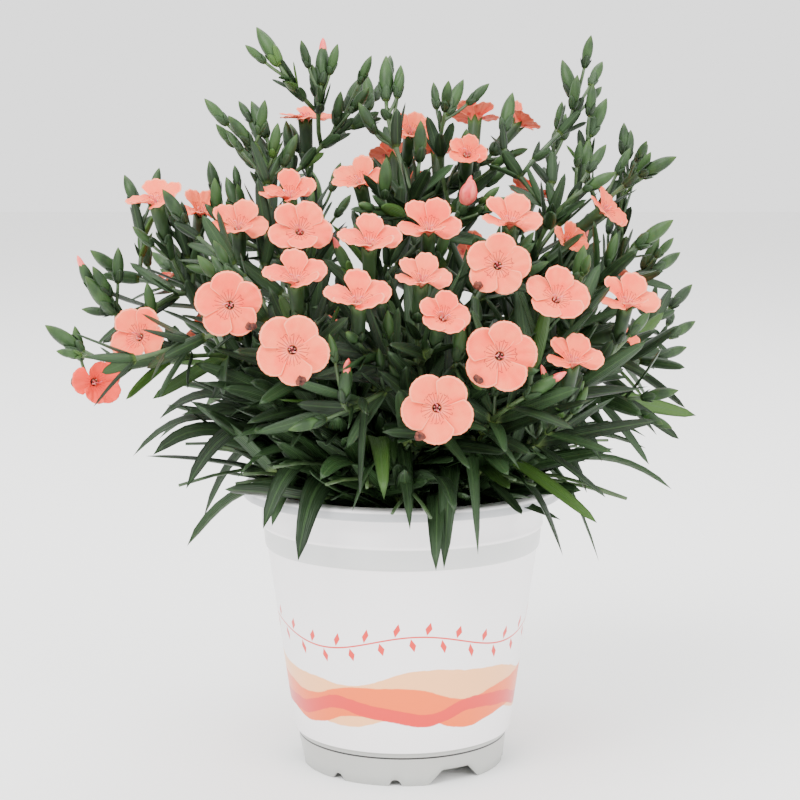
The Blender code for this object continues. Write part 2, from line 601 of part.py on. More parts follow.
def stem_leaf(at, out, along, rng):
    """A leaf on one side of a stem's joint."""
    out = unit(out + np.cross(along, out) * rng.uniform(-LEAF_TWIST, LEAF_TWIST))
    spread = math.radians(rng.uniform(*LEAF_SPREAD))
    way = along * math.cos(spread) + out * math.sin(spread)
    length = graded(at, LEAF_LENGTHS) * rng.uniform(*LEAF_LENGTH_RANGE)
    tip = at + way * length * LEAF_TIP + out * length * rng.uniform(*LEAF_CURL)
    return {
        "kind": "leaf", "curve": (at, at + way * length / 2, tip), "across": unit(np.cross(way, along)),
        "half_width": graded(at, LEAF_HALF_WIDTHS) * rng.uniform(*LEAF_WIDTH_RANGE), "stations": STEM_LEAF,
    }


def hanging_leaf(tip, shoot, level, side, arch, half_width):
    """A long leaf that rises from one side of a shoot's foot and hangs over the rim to its tip."""
    height = SOIL_TOP + (STUB_LEVELS[level - 1] + STUB_LEVELS[level]) / 2
    out = looking(stub_side_turn(side))
    root = shoot["foot"] + out * STUB_RADIUS * LONG_ROOT + vec(0, 0, height)
    outward = (tip - root) * vec(1, 1, 0)
    rise = max(0.0, tip[2] - root[2]) * LONG_RISE + arch * LONG_ARCH
    bend = root + outward * LONG_BEND + out * LONG_KICK + vec(0, 0, rise)
    return {
        "kind": "leaf", "curve": (root, bend, tip), "across": unit(np.cross(outward, vec(0, 0, 1))),
        "half_width": half_width, "stations": LONG_LEAF,
    }


def settle(leaf, host, place, shoot, part, thicket):
    """Grows a leaf from a host's side if it is clear of everything and stays within the crown."""
    if abs(leaf["curve"][2][:2]).max() > CROWN_REACH:
        return False
    if not thicket.clear(loft(leaf_rings(leaf, CLEARANCE)), shoot["node"]):
        return False
    if not thicket.clear(loft(leaf_rings(leaf, TOUCH, LEAF_CLEAR))):
        return False
    host["grown"][place] = leaf
    mesh = stub_mesh(shoot) if part == "stub" else main_stem_mesh(shoot)
    if crosses_itself(mesh) or not thicket.clear(mesh, shoot["node"], *shoot["own"]):
        del host["grown"][place]
        return False
    thicket.put(f"{shoot['node']}_{part}", mesh, shoot["node"])
    return True


def stub_side_turn(side):
    """Which way one of the sides of a shoot's foot faces."""
    return 90 + 360 * (side + 1) / STUB_SIDES


def plan_hanging_leaves(shoots, thicket, rng):
    """The leaves that hang over the rim, each on a free side of an outer shoot's foot."""
    tips = [(seen_at(a, d, depth), arch, half) for a, d, depth, arch, half in FRONT_LEAVES]
    for k in range(SKIRT_COUNT):
        azimuth = SKIRT_FIRST_DEG + SKIRT_SPAN_DEG * (k + 0.5) / SKIRT_COUNT + rng.uniform(*SKIRT_STRAY[0])
        reach, height = SKIRT_TIPS[k % len(SKIRT_TIPS)]
        reach += rng.uniform(*SKIRT_STRAY[1])
        tip = looking(azimuth) * reach + vec(0, 0, height + rng.uniform(*SKIRT_STRAY[2]))
        tips.append((tip, rng.uniform(*SKIRT_ARCH), rng.uniform(*LONG_HALF_WIDTHS)))
    for k in range(TUFT_COUNT):
        tip = looking(TUFT_STEP_DEG * k) * rng.uniform(*TUFT_REACH) + vec(0, 0, rng.uniform(*TUFT_HEIGHT))
        tips.append((tip, rng.uniform(*TUFT_ARCH), rng.uniform(*LONG_HALF_WIDTHS)))
    for tip, arch, half in tips:
        if not hang(tip, arch, half, HANGING_LEVELS, shoots, thicket):
            print("no room for a hanging leaf to", np.round(tip))


def hang(tip, arch, half, levels, shoots, thicket):
    """Grows a hanging leaf to this tip from the best free side of a shoot's foot."""
    bends = [ARCH_STEP * attempt * (-1 if attempt % 2 else 1.5) for attempt in range(TRIES)]
    for shoot in sorted(shoots, key=lambda s: -(tip @ s["disc"]))[:SHOOTS_TRIED]:
        way = unit((tip - shoot["foot"]) * vec(1, 1, 0))
        sides = [s for s in range(STUB_SIDES) if looking(stub_side_turn(s)) @ way > LEAST_FACING]
        sides.sort(key=lambda s: -(looking(stub_side_turn(s)) @ way))
        places = [(level, side) for side in sides for level in levels]
        for place in [place for place in places if place not in shoot["grown"]]:
            for bend in bends:
                leaf = hanging_leaf(tip, shoot, *place, arch + bend, half)
                if settle(leaf, shoot, place, shoot, "stub", thicket):
                    return True
    return False


def plan_stem_leaves(shoots, thicket, rng):
    """Leaves at the stems' joints: opposite pairs first, less those that find no room."""
    count = 0
    for rank in range(LEAF_ROUNDS):
        for shoot in shoots:
            for stem in shoot["stems"]:
                for place, at, out, along in list(joint_sides(stem)):
                    if (place[1] + place[0] // 2 + rank) % 2:
                        continue
                    for _ in range(TRIES):
                        leaf = stem_leaf(at, out, along, rng)
                        if settle(leaf, stem, place, shoot, "stem", thicket):
                            count += 1
                            break
    return count


def plan_low_leaves(shoots, thicket, rng):
    """Leaves that fill the foot of the plant, on the sides that the shoots' feet have left."""
    count = 0
    for k in range(LOW_COUNT):
        azimuth = LOW_FIRST_DEG + TUFT_STEP_DEG * k
        tip = looking(azimuth) * rng.uniform(*LOW_REACH) + vec(0, 0, rng.uniform(*LOW_HEIGHT))
        arch, half = rng.uniform(*LOW_ARCH), rng.uniform(*LONG_HALF_WIDTHS)
        count += hang(tip, arch, half, LOW_LEVELS, shoots, thicket)
    return count


def new_object(name, mesh, collection):
    """A Blender object from a planned mesh in millimetres."""
    points, faces = mesh
    data = bpy.data.meshes.new(name)
    data.from_pydata((points * MM).tolist(), [], faces)
    made = bpy.data.objects.new(name, data)
    collection.objects.link(made)
    return made


def material(name, colour, roughness):
    """A plain finish."""
    made = bpy.data.materials.new(name)
    made.use_nodes = True
    shader = made.node_tree.nodes["Principled BSDF"]
    shader.inputs["Base Color"].default_value = (*colour, 1.0)
    shader.inputs["Roughness"].default_value = roughness
    return made


def apply_modifiers(made):
    """Bakes an object's modifiers into its mesh."""
    bpy.context.view_layer.update()
    graph = bpy.context.evaluated_depsgraph_get()
    data = bpy.data.meshes.new_from_object(made.evaluated_get(graph))
    made.modifiers.clear()
    made.data = data


def turned(name, profile, collection):
    """A solid of revolution from a profile of (radius, height) that runs down its outer side."""
    data = bpy.data.meshes.new(name)
    points = [(r * MM, 0.0, z * MM) for r, z in profile]
    data.from_pydata(points, [(k, k + 1) for k in range(len(points) - 1)], [])
    made = bpy.data.objects.new(name, data)
    collection.objects.link(made)
    screw = made.modifiers.new("turn", "SCREW")
    screw.steps = screw.render_steps = POT_SEGMENTS
    screw.use_merge_vertices = True
    screw.merge_threshold = 0.00005
    apply_modifiers(made)
    return made


def combine(made, operation, helpers, solver="EXACT"):
    """Cuts or joins a collection's objects, applies the result and removes them."""
    boolean = made.modifiers.new(operation.lower(), "BOOLEAN")
    boolean.operation, boolean.operand_type, boolean.solver = operation, "COLLECTION", solver
    boolean.collection = helpers
    apply_modifiers(made)
    for helper in list(helpers.objects):
        bpy.data.objects.remove(helper)


def keep_largest_body(made):
    """Drops loose scraps and fills sealed hollows, by keeping the largest shell alone."""
    mesh = bmesh.new()
    mesh.from_mesh(made.data)
    left = set(mesh.verts)
    bodies = []
    while left:
        body, front = set(), {left.pop()}
        while front:
            body |= front
            front = {edge.other_vert(v) for v in front for edge in v.link_edges} - body
        left -= body
        bodies.append(body)
    bodies.sort(key=len)
    bmesh.ops.delete(mesh, geom=[v for body in bodies[:-1] for v in body], context="VERTS")
    bmesh.ops.triangulate(mesh, faces=mesh.faces)
    mesh.to_mesh(made.data)
    mesh.free()


def pot_profile():
    """The pot's closed section: inner floor, inner wall, rim, outer wall and foot."""
    top, step = POT_HEIGHT, STEP_HEIGHT
    return (
        (0.0, FLOOR_HEIGHT + WALL), (37.6, FLOOR_HEIGHT + WALL), (39.9, 13.4), (49.8, step),
        (50.9, step + 2.0), (52.2, top - 1.6), (RIM_INNER_RADIUS, top), (RIM_RADIUS - 1.2, top),
        (RIM_RADIUS, top - 1.2), (RIM_RADIUS, top - RIM_DROP), (RIM_RADIUS - 1.2, top - RIM_DROP),
        (RIM_RADIUS - 1.3, top - 1.5), (53.6, top - 2.4), (52.9, 91.4), (52.3, 90.4), (51.7, step + 0.6),
        (50.8, step - 0.4), (41.0, 13.0), (39.6, 11.4), (FOOT_RADIUS, 0.0), (FOOT_RADIUS - 1.3, 0.0),
        (FOOT_RADIUS - 0.9, FLOOR_HEIGHT), (0.0, FLOOR_HEIGHT),
    )


def soil_profile():
    """The compost's section: from the middle of its top, down the pot's inside, to its floor's middle."""
    return (
        (0.0, SOIL_TOP + 0.6), (17.0, SOIL_TOP), (38.0, SOIL_TOP), (51.5 - GAP, SOIL_TOP - 1.0),
        (50.9 - GAP, STEP_HEIGHT + 2.0), (49.8 - GAP, STEP_HEIGHT), (39.9 - GAP, 13.4),
        (37.6 - GAP, FLOOR_HEIGHT + WALL + GAP), (0.0, FLOOR_HEIGHT + WALL + GAP),
    )


def foot_cutters(cutters):
    """Wide arches and small round notches through the foot ring, and drain holes through the floor."""
    reach = FOOT_RADIUS * 1.4
    low, high = [reach * math.tan(math.radians(deg / 2)) for deg in (ARCH_BOTTOM_DEG, ARCH_TOP_DEG)]
    arch = ((-low, -PROUD), (low, -PROUD), (high, ARCH_RISE), (-high, ARCH_RISE))
    for azimuth in ARCH_ANGLES:
        out, side = looking(azimuth), looking(azimuth + 90)
        rings = [[(out * reach + side * x) * s + vec(0, 0, z) for x, z in arch] for s in (1.0, 0.6)]
        new_object("arch", loft(rings), cutters)
    corners = [2 * math.pi * (k + 0.5) / NOTCH_SIDES for k in range(NOTCH_SIDES)]
    notch = [(math.cos(a) * NOTCH_RADIUS, math.sin(a) * NOTCH_RADIUS) for a in corners]
    for azimuth in NOTCH_ANGLES:
        out, side = looking(azimuth), looking(azimuth + 90)
        rings = [[out * FOOT_RADIUS * s + side * x + vec(0, 0, z) for x, z in notch] for s in (1.15, 0.85)]
        new_object("notch", loft(rings), cutters)
    for k in range(DRAIN_COUNT):
        x, y, _ = looking(DRAIN_FIRST_DEG + 360 * k / DRAIN_COUNT) * DRAIN_RING
        hole = post(x, y, FLOOR_HEIGHT - PROUD, FLOOR_HEIGHT + WALL + PROUD, DRAIN_RADIUS, DRAIN_SIDES)
        new_object("drain", hole, cutters)


def build_pot(collection, cutters):
    """The thin-walled pot on its three-part foot."""
    pot = turned("pot", pot_profile(), collection)
    foot_cutters(cutters)
    combine(pot, "DIFFERENCE", cutters)
    keep_largest_body(pot)
    pot.data.materials.append(material("white plastic", (0.87, 0.87, 0.86), 0.35))
    return pot


def build_soil(shoots, collection, cutters):
    """The compost, moulded to the pot's inside, with a lumpy top and a plain hole for each shoot."""
    soil = turned("soil", soil_profile(), collection)
    for vertex in soil.data.vertices:
        x, y, z = vertex.co / MM
        r, angle = math.hypot(x, y), math.atan2(y, x)
        if z > SOIL_TOP - 0.5 and r > 1.0:
            (a, b), (c, d) = SOIL_WAVES
            vertex.co.z += SOIL_BUMP * math.sin(a * angle + r * b) * math.cos(c * angle - r * d) * MM
    for shoot in shoots:
        x, y, _ = shoot["foot"]
        low, high = SOIL_TOP - HOLE_DEPTH - GAP, SOIL_TOP + 3 * PROUD
        new_object("hole", post(x, y, low, high, STUB_RADIUS + HOLE_PLAY, STUB_SIDES), cutters)
    combine(soil, "DIFFERENCE", cutters)
    keep_largest_body(soil)
    soil.data.materials.append(material("compost", (0.03, 0.02, 0.015), 0.95))
    return soil


def build_leafy_stem(shoot, collection, helpers, finish):
    """One shoot: its foot and its stems with leaves, calyces and buds, fused."""
    made = new_object(shoot["node"], stub_mesh(shoot), collection)
    if shoot["stem"]:
        new_object("stem", main_stem_mesh(shoot), helpers)
        combine(made, "UNION", helpers, "MANIFOLD")
    keep_largest_body(made)
    made.data.materials.append(finish)


def main():
    for old in list(bpy.data.objects):
        bpy.data.objects.remove(old)
    collection = bpy.data.collections.new("dianthus")
    helpers = bpy.data.collections.new("helpers")
    for made in (collection, helpers):
        bpy.context.scene.collection.children.link(made)
    rng = random.Random(SEED)
    shoots = plan_shoots()
    thicket = Thicket()
    for made in (build_pot(collection, helpers), build_soil(shoots, collection, helpers)):
        points = np.array([v.co for v in made.data.vertices]) / MM
        thicket.put(made.name, (points, [tuple(f.vertices) for f in made.data.polygons]), made.name)

    heads = plan_heads(rng)
    blooms = [head for head in heads if head["kind"] == "bloom"]
    place_blooms(blooms, thicket)
    stems = plan_stems(heads, shoots, thicket, rng)
    plan_hanging_leaves(shoots, thicket, rng)
    leaves = plan_stem_leaves(shoots, thicket, rng)
    low = plan_low_leaves(shoots, thicket, rng)

    green = material("leaf green", (0.055, 0.13, 0.065), 0.5)
    peach = material("petal peach", (0.93, 0.47, 0.36), 0.6)
    for shoot in shoots:
        build_leafy_stem(shoot, collection, helpers, green)
    for bloom in blooms:
        new_object(bloom["node"], corolla(bloom), collection).data.materials.append(peach)
    hanging = sum(len(shoot["grown"]) for shoot in shoots) - low
    print(stems, "stems,", hanging, "hanging leaves,", low, "low leaves,", leaves, "stem leaves")


main()
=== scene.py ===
# A dianthus in its pot: fine stems, leaves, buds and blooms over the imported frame.
# The plan of the plant works in millimetres and comes to metres as each piece is made.
# Z is up, the origin is the middle of the pot's standing face, and the front looks along -Y.
import math
import random

import bpy
import numpy as np
from mathutils.bvhtree import BVHTree
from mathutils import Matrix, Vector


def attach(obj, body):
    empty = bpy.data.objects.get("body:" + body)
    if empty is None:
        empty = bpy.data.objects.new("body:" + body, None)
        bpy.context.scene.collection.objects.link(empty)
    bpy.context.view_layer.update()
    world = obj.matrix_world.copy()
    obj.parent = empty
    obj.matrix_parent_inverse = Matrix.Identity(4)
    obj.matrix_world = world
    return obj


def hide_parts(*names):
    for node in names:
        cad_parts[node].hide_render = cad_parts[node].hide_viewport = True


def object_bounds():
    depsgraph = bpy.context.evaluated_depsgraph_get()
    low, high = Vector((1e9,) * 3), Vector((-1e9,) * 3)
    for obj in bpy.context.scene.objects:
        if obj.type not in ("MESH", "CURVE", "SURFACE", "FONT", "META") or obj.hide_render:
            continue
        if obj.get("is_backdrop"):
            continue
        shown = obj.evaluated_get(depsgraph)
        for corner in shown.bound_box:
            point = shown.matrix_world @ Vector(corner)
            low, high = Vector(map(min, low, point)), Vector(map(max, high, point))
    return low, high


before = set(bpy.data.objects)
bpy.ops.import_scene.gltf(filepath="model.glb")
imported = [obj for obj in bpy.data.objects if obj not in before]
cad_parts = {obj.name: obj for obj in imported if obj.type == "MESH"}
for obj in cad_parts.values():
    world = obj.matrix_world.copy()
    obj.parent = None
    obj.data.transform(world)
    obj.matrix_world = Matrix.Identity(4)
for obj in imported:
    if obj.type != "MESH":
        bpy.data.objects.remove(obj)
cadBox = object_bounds()
mm = 0.001
seed = 23
print("frame loaded")


# A socket of a material, with which maths is written as plain expressions.
class Wire:
    def __init__(self, paint, socket):
        self.paint, self.socket = paint, socket

    def __add__(self, other):
        return self.paint.maths("ADD", self, other)

    def __sub__(self, other):
        return self.paint.maths("SUBTRACT", self, other)

    def __rsub__(self, other):
        return self.paint.maths("SUBTRACT", other, self)

    def __mul__(self, other):
        return self.paint.maths("MULTIPLY", self, other)

    def __truediv__(self, other):
        return self.paint.maths("DIVIDE", self, other)

    def __pow__(self, other):
        return self.paint.maths("POWER", self, other)

    def __abs__(self):
        return self.paint.maths("ABSOLUTE", self)

    __radd__, __rmul__ = __add__, __mul__


# A linear colour from red, green and blue as a screen shows them, 0 to 255.
def shade(*colour):
    parts = [part / 255 for part in colour]
    return tuple(c / 12.92 if c < 0.0404 else ((c + 0.055) / 1.055) ** 2.4 for c in parts)


# A material that is built up from nodes.
class Paint:
    def __init__(self, name, roughness=0.5, **fixed):
        self.material = bpy.data.materials.new(name)
        self.material.use_nodes = True
        self.tree = self.material.node_tree
        self.shader = self.tree.nodes["Principled BSDF"]
        self.shader.inputs["Roughness"].default_value = roughness
        for socket, value in fixed.items():
            self.shader.inputs[socket.replace("_", " ")].default_value = value

    # Any node: its type, its settings, and the values or links of its sockets by name or number.
    def node(self, kind, settings=None, sockets=None, output=0):
        made = self.tree.nodes.new(kind)
        for setting, value in (settings or {}).items():
            setattr(made, setting, value)
        for key, value in (sockets or {}).items():
            if isinstance(value, Wire):
                self.tree.links.new(value.socket, made.inputs[key])
            elif value is not None:
                isColour = made.inputs[key].type == "RGBA"
                made.inputs[key].default_value = (*value, 1.0) if isColour and len(value) == 3 else value
        return Wire(self, made.outputs[output])

    def maths(self, operation, a, b=None):
        return self.node("ShaderNodeMath", {"operation": operation}, {0: a, 1: b})

    # Between two colours, each a link or red, green and blue as a screen shows them.
    def mix(self, factor, a, b):
        a, b = (shade(*colour) if isinstance(colour, tuple) else colour for colour in (a, b))
        return self.node("ShaderNodeMix", {"data_type": "RGBA"}, {0: factor, 6: a, 7: b}, 2)

    # 0 below low and 1 above high, with a soft step between.
    def step(self, value, low, high):
        settings = {"interpolation_type": "SMOOTHSTEP"}
        return self.node("ShaderNodeMapRange", settings, {0: value, 1: low, 2: high, 3: 0.0, 4: 1.0})

    def fact(self, label):
        return self.node("ShaderNodeAttribute", {"attribute_name": label}, output=2)

    # Object coordinates, stretched by a scale along each axis.
    def where(self, scale=(1, 1, 1)):
        spot = self.node("ShaderNodeTexCoord", output=3)
        return self.node("ShaderNodeVectorMath", {"operation": "MULTIPLY"}, {0: spot, 1: scale})

    def noise(self, scale, detail=3.0, spot=None):
        spot = spot or self.where()
        return self.node("ShaderNodeTexNoise", None, {"Vector": spot, "Scale": scale, "Detail": detail})

    def bump(self, height, strength, distance):
        sockets = {"Height": height, "Strength": strength, "Distance": distance}
        self.plug("Normal", self.node("ShaderNodeBump", None, sockets))

    def plug(self, socket, value):
        self.tree.links.new(value.socket, self.shader.inputs[socket])


# The front view: its eye, how far down it looks, and its focal length and middle in pixels.
view = {
    "eye": (-0.9, -713.0, 231.7), "pitch": 7.57, "focal": 1920.0, "centre": 400.0,
}
potSize = {
    "height": 106.0, "footRadius": 38.3, "soilTop": 95.0,
}
clear = {
    "gap": 0.3, "apart": 0.35, "touch": 0.1, "stemFree": 0.02, "stemClear": 0.25, "leafClear": 0.18,
    "tries": 8, "crownReach": 112.0, "shifts": 24, "shift": 1.25,
}
shootPlan = {
    "rings": ((1, 0.0, 0.0), (5, 0.5, 18.0), (9, 1.0, 0.0)), "radius": 2.6, "sides": 6, "taper": 0.65,
    "spread": 25.0, "headSpread": 105.0, "tried": 5, "levels": (1.0, 3.4, 5.8, 8.2), "depth": 13.0,
}
stemPlan = {
    "bends": ((0.6, 0.0), (0.1, 0.0), (1.2, 0.0), (0.5, 0.5), (0.5, -0.5)), "radius": 0.95, "sides": 4,
    "foot": 0.36, "neck": 0.3, "taper": 0.8, "rootShare": 0.1,
    "joints": ((48.0, (0.52,)), (105.0, (0.34, 0.68)), (1000.0, (0.24, 0.48, 0.73))),
    "jointShift": 0.03, "nodeHeight": 1.8, "nodeSwell": 1.12, "bow": (0.7, 1.3), "alongShare": 0.2,
    "outShare": 0.1, "leastBranch": 14.0, "facingGain": 60.0, "hostsTried": 10, "kick": 0.7,
}
calyxPlan = {
    "length": 14.5, "radius": 2.7, "shares": ((0.0, 0.45), (0.18, 0.85), (1.0, 1.0)),
    "room": (1.6, 1.0, 0.0), "neck": 0.8,
}
budPlan = {
    "length": 15.5, "radius": 2.45, "shares": ((0.0, 0.4), (0.42, 1.0), (0.72, 0.76), (1.0, 0.0)),
    "nod": 18.0,
}
bloomPlan = {
    "petalStray": (-5, 5),
    "rim": ((-35, 0.66), (-26, 0.95), (-2, 0.98), (24, 0.97), (39, 0.66)), "thickness": 1.0,
    "tilt": 0.11, "rootRadius": 2.6, "rootSpread": 0.46, "cork": 2.2, "corkRadius": 1.9,
    "ridgeReach": 0.29, "ridgeRise": 0.09,
}
hidden = {
    "domeHeight": 148.0, "domeRadius": 93.0, "domeRise": 90.0,
    "blooms": ((100, 18), (128, 46), (132, 8), (160, 26), (182, 52), (196, 10), (222, 34), (240, 6),
               (262, 24)),
    "bloomSize": 24.0, "turn": 12.0, "lift": (18.0, 42.0), "follow": 0.6, "sizes": (0.92, 1.04),
    "cups": (0.18, 0.42),
    "buds": ((92, 50), (112, 30), (146, 64), (147, 18), (172, 4), (178, 34), (206, 40), (214, 16), (232, 58),
             (246, 22), (252, 44), (278, 36)),
    "budLift": 32, "budTop": 80, "budSizes": (0.85, 1.05), "budReach": 1.13,
}
longLeaf = {
    "skirtCount": 20, "skirtFirst": 62.0, "skirtSpan": 236.0,
    "skirtTips": ((98, 112), (82, 84), (110, 128)), "stray": ((-3, 3), (-8, 8), (-6, 10)),
    "skirtArch": (24, 42), "archStep": 2.0, "tuftCount": 34, "tuftStep": 137.5, "tuftReach": (52, 84),
    "tuftHeight": (128, 152), "tuftArch": (8, 22), "halfWidths": (2.4, 3.2), "root": 0.7, "bend": 0.55,
    "kick": 4.0, "rise": 0.6, "arch": 1.15, "leastFacing": 0.4, "hangingLevels": (1, 2),
    "lowLevels": (3, 2, 1), "lowCount": 150, "lowFirst": 30.0, "lowReach": (56, 100), "lowHeight": (106, 136),
    "lowArch": (4, 26),
    "stations": ((0.0, 0.35), (0.38, 1.0), (0.74, 0.74), (1.0, 0.0)),
}
stemLeafPlan = {
    "stations": ((0.0, 0.4), (0.46, 1.0), (1.0, 0.0)), "reaches": (15.0, 150.0),
    "lengths": (58.0, 14.0), "halfWidths": (3.0, 1.5), "lengthRange": (0.8, 1.15),
    "widthRange": (0.9, 1.1), "twist": 0.3, "spread": (26, 50), "tip": 0.96, "curl": (0.06, 0.28),
    "rounds": 2, "keel": 0.42, "leastKeel": 0.7,
}

# Blooms as the front view shows them: pixels across and down, depth, turn, lift, size, cup, petals' turn.
frontBlooms = (
    (155, 200, -20, -28, 66, 23.5, 0.34, 110), (201, 210, 22, 20, 60, 21.0, 0.52, 110),
    (238, 226, -30, 0, 56, 23.5, 0.46, 60), (305, 117, 30, -20, 82, 22.5, 0.20, 80),
    (289, 195, -18, -8, 60, 23.0, 0.55, 95), (300, 230, -52, 8, 36, 24.0, 0.34, 60),
    (359, 181, -6, -20, 55, 23.0, 0.50, 80), (369, 243, -58, 0, 60, 25.0, 0.55, 92),
    (411, 131, 26, 10, 52, 19.0, 0.44, 60), (392, 154, 52, 190, 62, 19.0, 0.40, 70),
    (475, 117, 42, 172, 66, 20.5, 0.40, 60), (519, 122, 34, 115, 46, 19.0, 0.62, 90),
    (467, 153, 4, 0, 40, 16.5, 0.50, 75), (438, 151, 50, 180, 60, 17.0, 0.50, 90),
    (429, 228, -48, 4, 56, 25.0, 0.55, 54), (510, 221, -42, 6, 60, 24.0, 0.55, 58),
    (498, 265, -74, 0, 12, 23.0, 0.16, 80), (557, 298, -72, 16, 38, 24.5, 0.34, 75),
    (627, 302, -46, 16, 60, 25.0, 0.55, 58), (621, 331, -8, 75, 20, 22.0, 0.50, 90),
    (606, 209, -4, 62, 36, 20.5, 0.30, 90), (567, 239, 2, 30, 35, 17.0, 0.66, 80),
    (295, 279, -72, -4, 60, 25.0, 0.55, 92), (358, 300, -86, 0, 60, 25.0, 0.55, 92),
    (422, 279, -78, 10, 60, 21.5, 0.55, 58), (229, 305, -76, -6, 8, 24.5, 0.16, 95),
    (292, 350, -94, -2, 6, 25.5, 0.16, 60), (444, 316, -92, 14, 40, 18.5, 0.34, 75),
    (500, 356, -92, 4, 6, 25.5, 0.16, 75), (573, 360, -78, 12, 60, 22.0, 0.55, 58),
    (437, 408, -98, 2, 6, 25.5, 0.16, 50), (138, 336, -50, -24, 24, 23.0, 0.28, 62),
    (96, 382, -52, 34, 6, 20.0, 0.62, 100),
)

# Buds likewise: pixels across and down, depth, lean to the right, length.
frontBuds = (
    (268, 46, 2, -32, 17.5), (322, 64, 12, 2, 16.5), (353, 95, 24, 22, 15.0), (386, 78, 6, 0, 17.5),
    (368, 92, 34, -4, 14.5), (455, 97, 12, 26, 15.5), (508, 112, 14, 14, 16.0), (568, 79, 16, -16, 16.0),
    (598, 117, 8, 26, 16.5), (560, 131, 30, 20, 15.0), (658, 166, 0, 62, 15.5), (640, 157, 16, 34, 12.0),
    (600, 181, -28, 60, 13.5), (655, 233, -24, 52, 16.5), (666, 262, 26, 58, 14.5),
    (681, 296, 84, 46, 14.5), (682, 329, 74, 62, 14.0), (672, 352, 40, 74, 13.5),
    (660, 394, -22, 76, 14.0), (64, 338, -78, -52, 15.5), (100, 295, -34, -34, 17.5),
    (106, 262, 0, -50, 15.0), (144, 247, 10, -14, 15.0), (131, 191, 14, -24, 14.0),
    (174, 206, -46, -32, 14.5), (216, 196, -12, -2, 14.0), (232, 194, 14, -20, 14.5),
    (259, 119, 24, -24, 16.0), (240, 130, -6, -38, 14.0), (245, 155, 12, -44, 13.5),
    (291, 95, 40, -40, 12.5), (420, 141, -16, 2, 15.5), (385, 178, -24, 4, 15.5),
    (466, 200, -14, 18, 12.5), (580, 266, -48, 8, 16.0), (460, 342, -76, 8, 14.5),
    (543, 386, -84, 56, 15.0), (345, 384, -88, 6, 14.0), (388, 328, -74, 0, 13.0),
    (558, 398, -66, 4, 12.5),
)

# Leaves that hang over the rim: the tip's pixels across and down, its depth, arch, half width.
frontLeaves = (
    (298, 561, -72, 34, 3.3), (263, 529, -66, 38, 2.9), (272, 526, -50, 30, 2.8), (186, 489, -40, 44, 3.0),
    (237, 478, -62, 20, 2.2), (455, 514, -94, 26, 3.3), (436, 571, -84, 42, 2.7), (444, 569, -78, 46, 2.9),
    (478, 555, -70, 34, 2.8), (563, 556, -62, 36, 3.2), (587, 493, -40, 40, 3.1), (320, 480, -90, 22, 2.8),
    (352, 512, -78, 28, 2.6), (520, 470, -86, 24, 2.8), (153, 455, -28, 30, 2.5), (646, 437, -20, 26, 2.4),
    (384, 500, -92, 24, 2.7), (232, 440, -62, 22, 2.7), (602, 462, -50, 26, 2.7), (410, 530, -66, 36, 2.5),
)


# v at length 1.
def unit(v):
    return v / np.linalg.norm(v)


# A point or direction.
def vec(*values):
    return np.array(values, float)


# The point that the front view shows at this place of its picture, at this depth.
def seenAt(across, down, depth):
    pitch = math.radians(view["pitch"])
    right = (across - view["centre"]) / view["focal"]
    rise = (view["centre"] - down) / view["focal"]
    ray = vec(right, math.cos(pitch) + rise * math.sin(pitch), rise * math.cos(pitch) - math.sin(pitch))
    eye = vec(*view["eye"])
    return eye + ray * (depth - eye[1]) / ray[1]


# The direction of something that looks turn degrees right of the viewer and lift above level.
def looking(turn, lift=0.0):
    turn, lift = math.radians(turn), math.radians(lift)
    return vec(math.sin(turn) * math.cos(lift), -math.cos(turn) * math.cos(lift), math.sin(lift))


# A point of the crown's dome.
def onDome(azimuth, elevation, reach=1.0):
    radii = vec(hidden["domeRadius"], hidden["domeRadius"], hidden["domeRise"])
    return looking(azimuth, elevation) * radii * reach + vec(0, 0, hidden["domeHeight"])


# Points of the Bezier curve with these control points, at these shares of its parameter.
def bezier(points, shares):
    order = len(points) - 1
    t = np.asarray(shares, float)[:, None]
    return sum(math.comb(order, k) * (1 - t) ** (order - k) * t**k * p for k, p in enumerate(points))


# A random number no further than this from zero.
def within(span, rng):
    return rng.uniform(-span, span)


# Unit directions along a line of points.
def tangents(line):
    return [unit(v) for v in np.gradient(line, axis=0)]


# Adds a ring of points and returns their numbers.
def extend(points, ring):
    points.extend(ring)
    return range(len(points) - len(ring), len(points))


# Lofts on from the corners low through further rings, the last of which may be a tip, and caps the end.
# Rings have equal size. grown names what grows in place of a side: (rings passed, place on the ring).
def grow(points, faces, low, rings, grown=None):
    for level, ring in enumerate(rings):
        high = extend(points, ring)
        for k in range(max(len(low), len(high))):
            a, b = low[k % len(low)], low[(k + 1) % len(low)]
            c, d = high[(k + 1) % len(high)], high[k % len(high)]
            child = (grown or {}).get((level, k))
            if child is None:
                faces += [face for face in ((a, b, c), (a, c, d)) if len(set(face)) == 3]
            elif child["kind"] == "leaf":
                growLeaf(points, faces, (a, b, c, d), leafRings(child)[1:])
            else:
                grow(points, faces, (a, b, c, d), stemRings(child)[1:], child["grown"])
        low = high
    faces += [(low[0], low[k], low[k + 1]) for k in range(1, len(low) - 1)]


# A blade that grows out of the side a, b, c, d of a stem, where a and b are the lower corners.
def growLeaf(points, faces, corners, rings):
    a, b, c, d = corners
    right, left, keel = first = extend(points, rings[0])
    faces += [(c, d, left), (c, left, right), (d, a, keel), (d, keel, left)]
    faces += [(a, b, keel), (b, c, right), (b, right, keel)]
    grow(points, faces, first, rings[1:])


# A closed mesh through rings of points, with what grows on its sides.
def loft(rings, grown=None):
    points, faces = [], []
    first = extend(points, rings[0])
    faces += [(first[0], first[k + 1], first[k]) for k in range(1, len(first) - 1)]
    grow(points, faces, first, rings[1:], grown)
    return np.array(points), faces


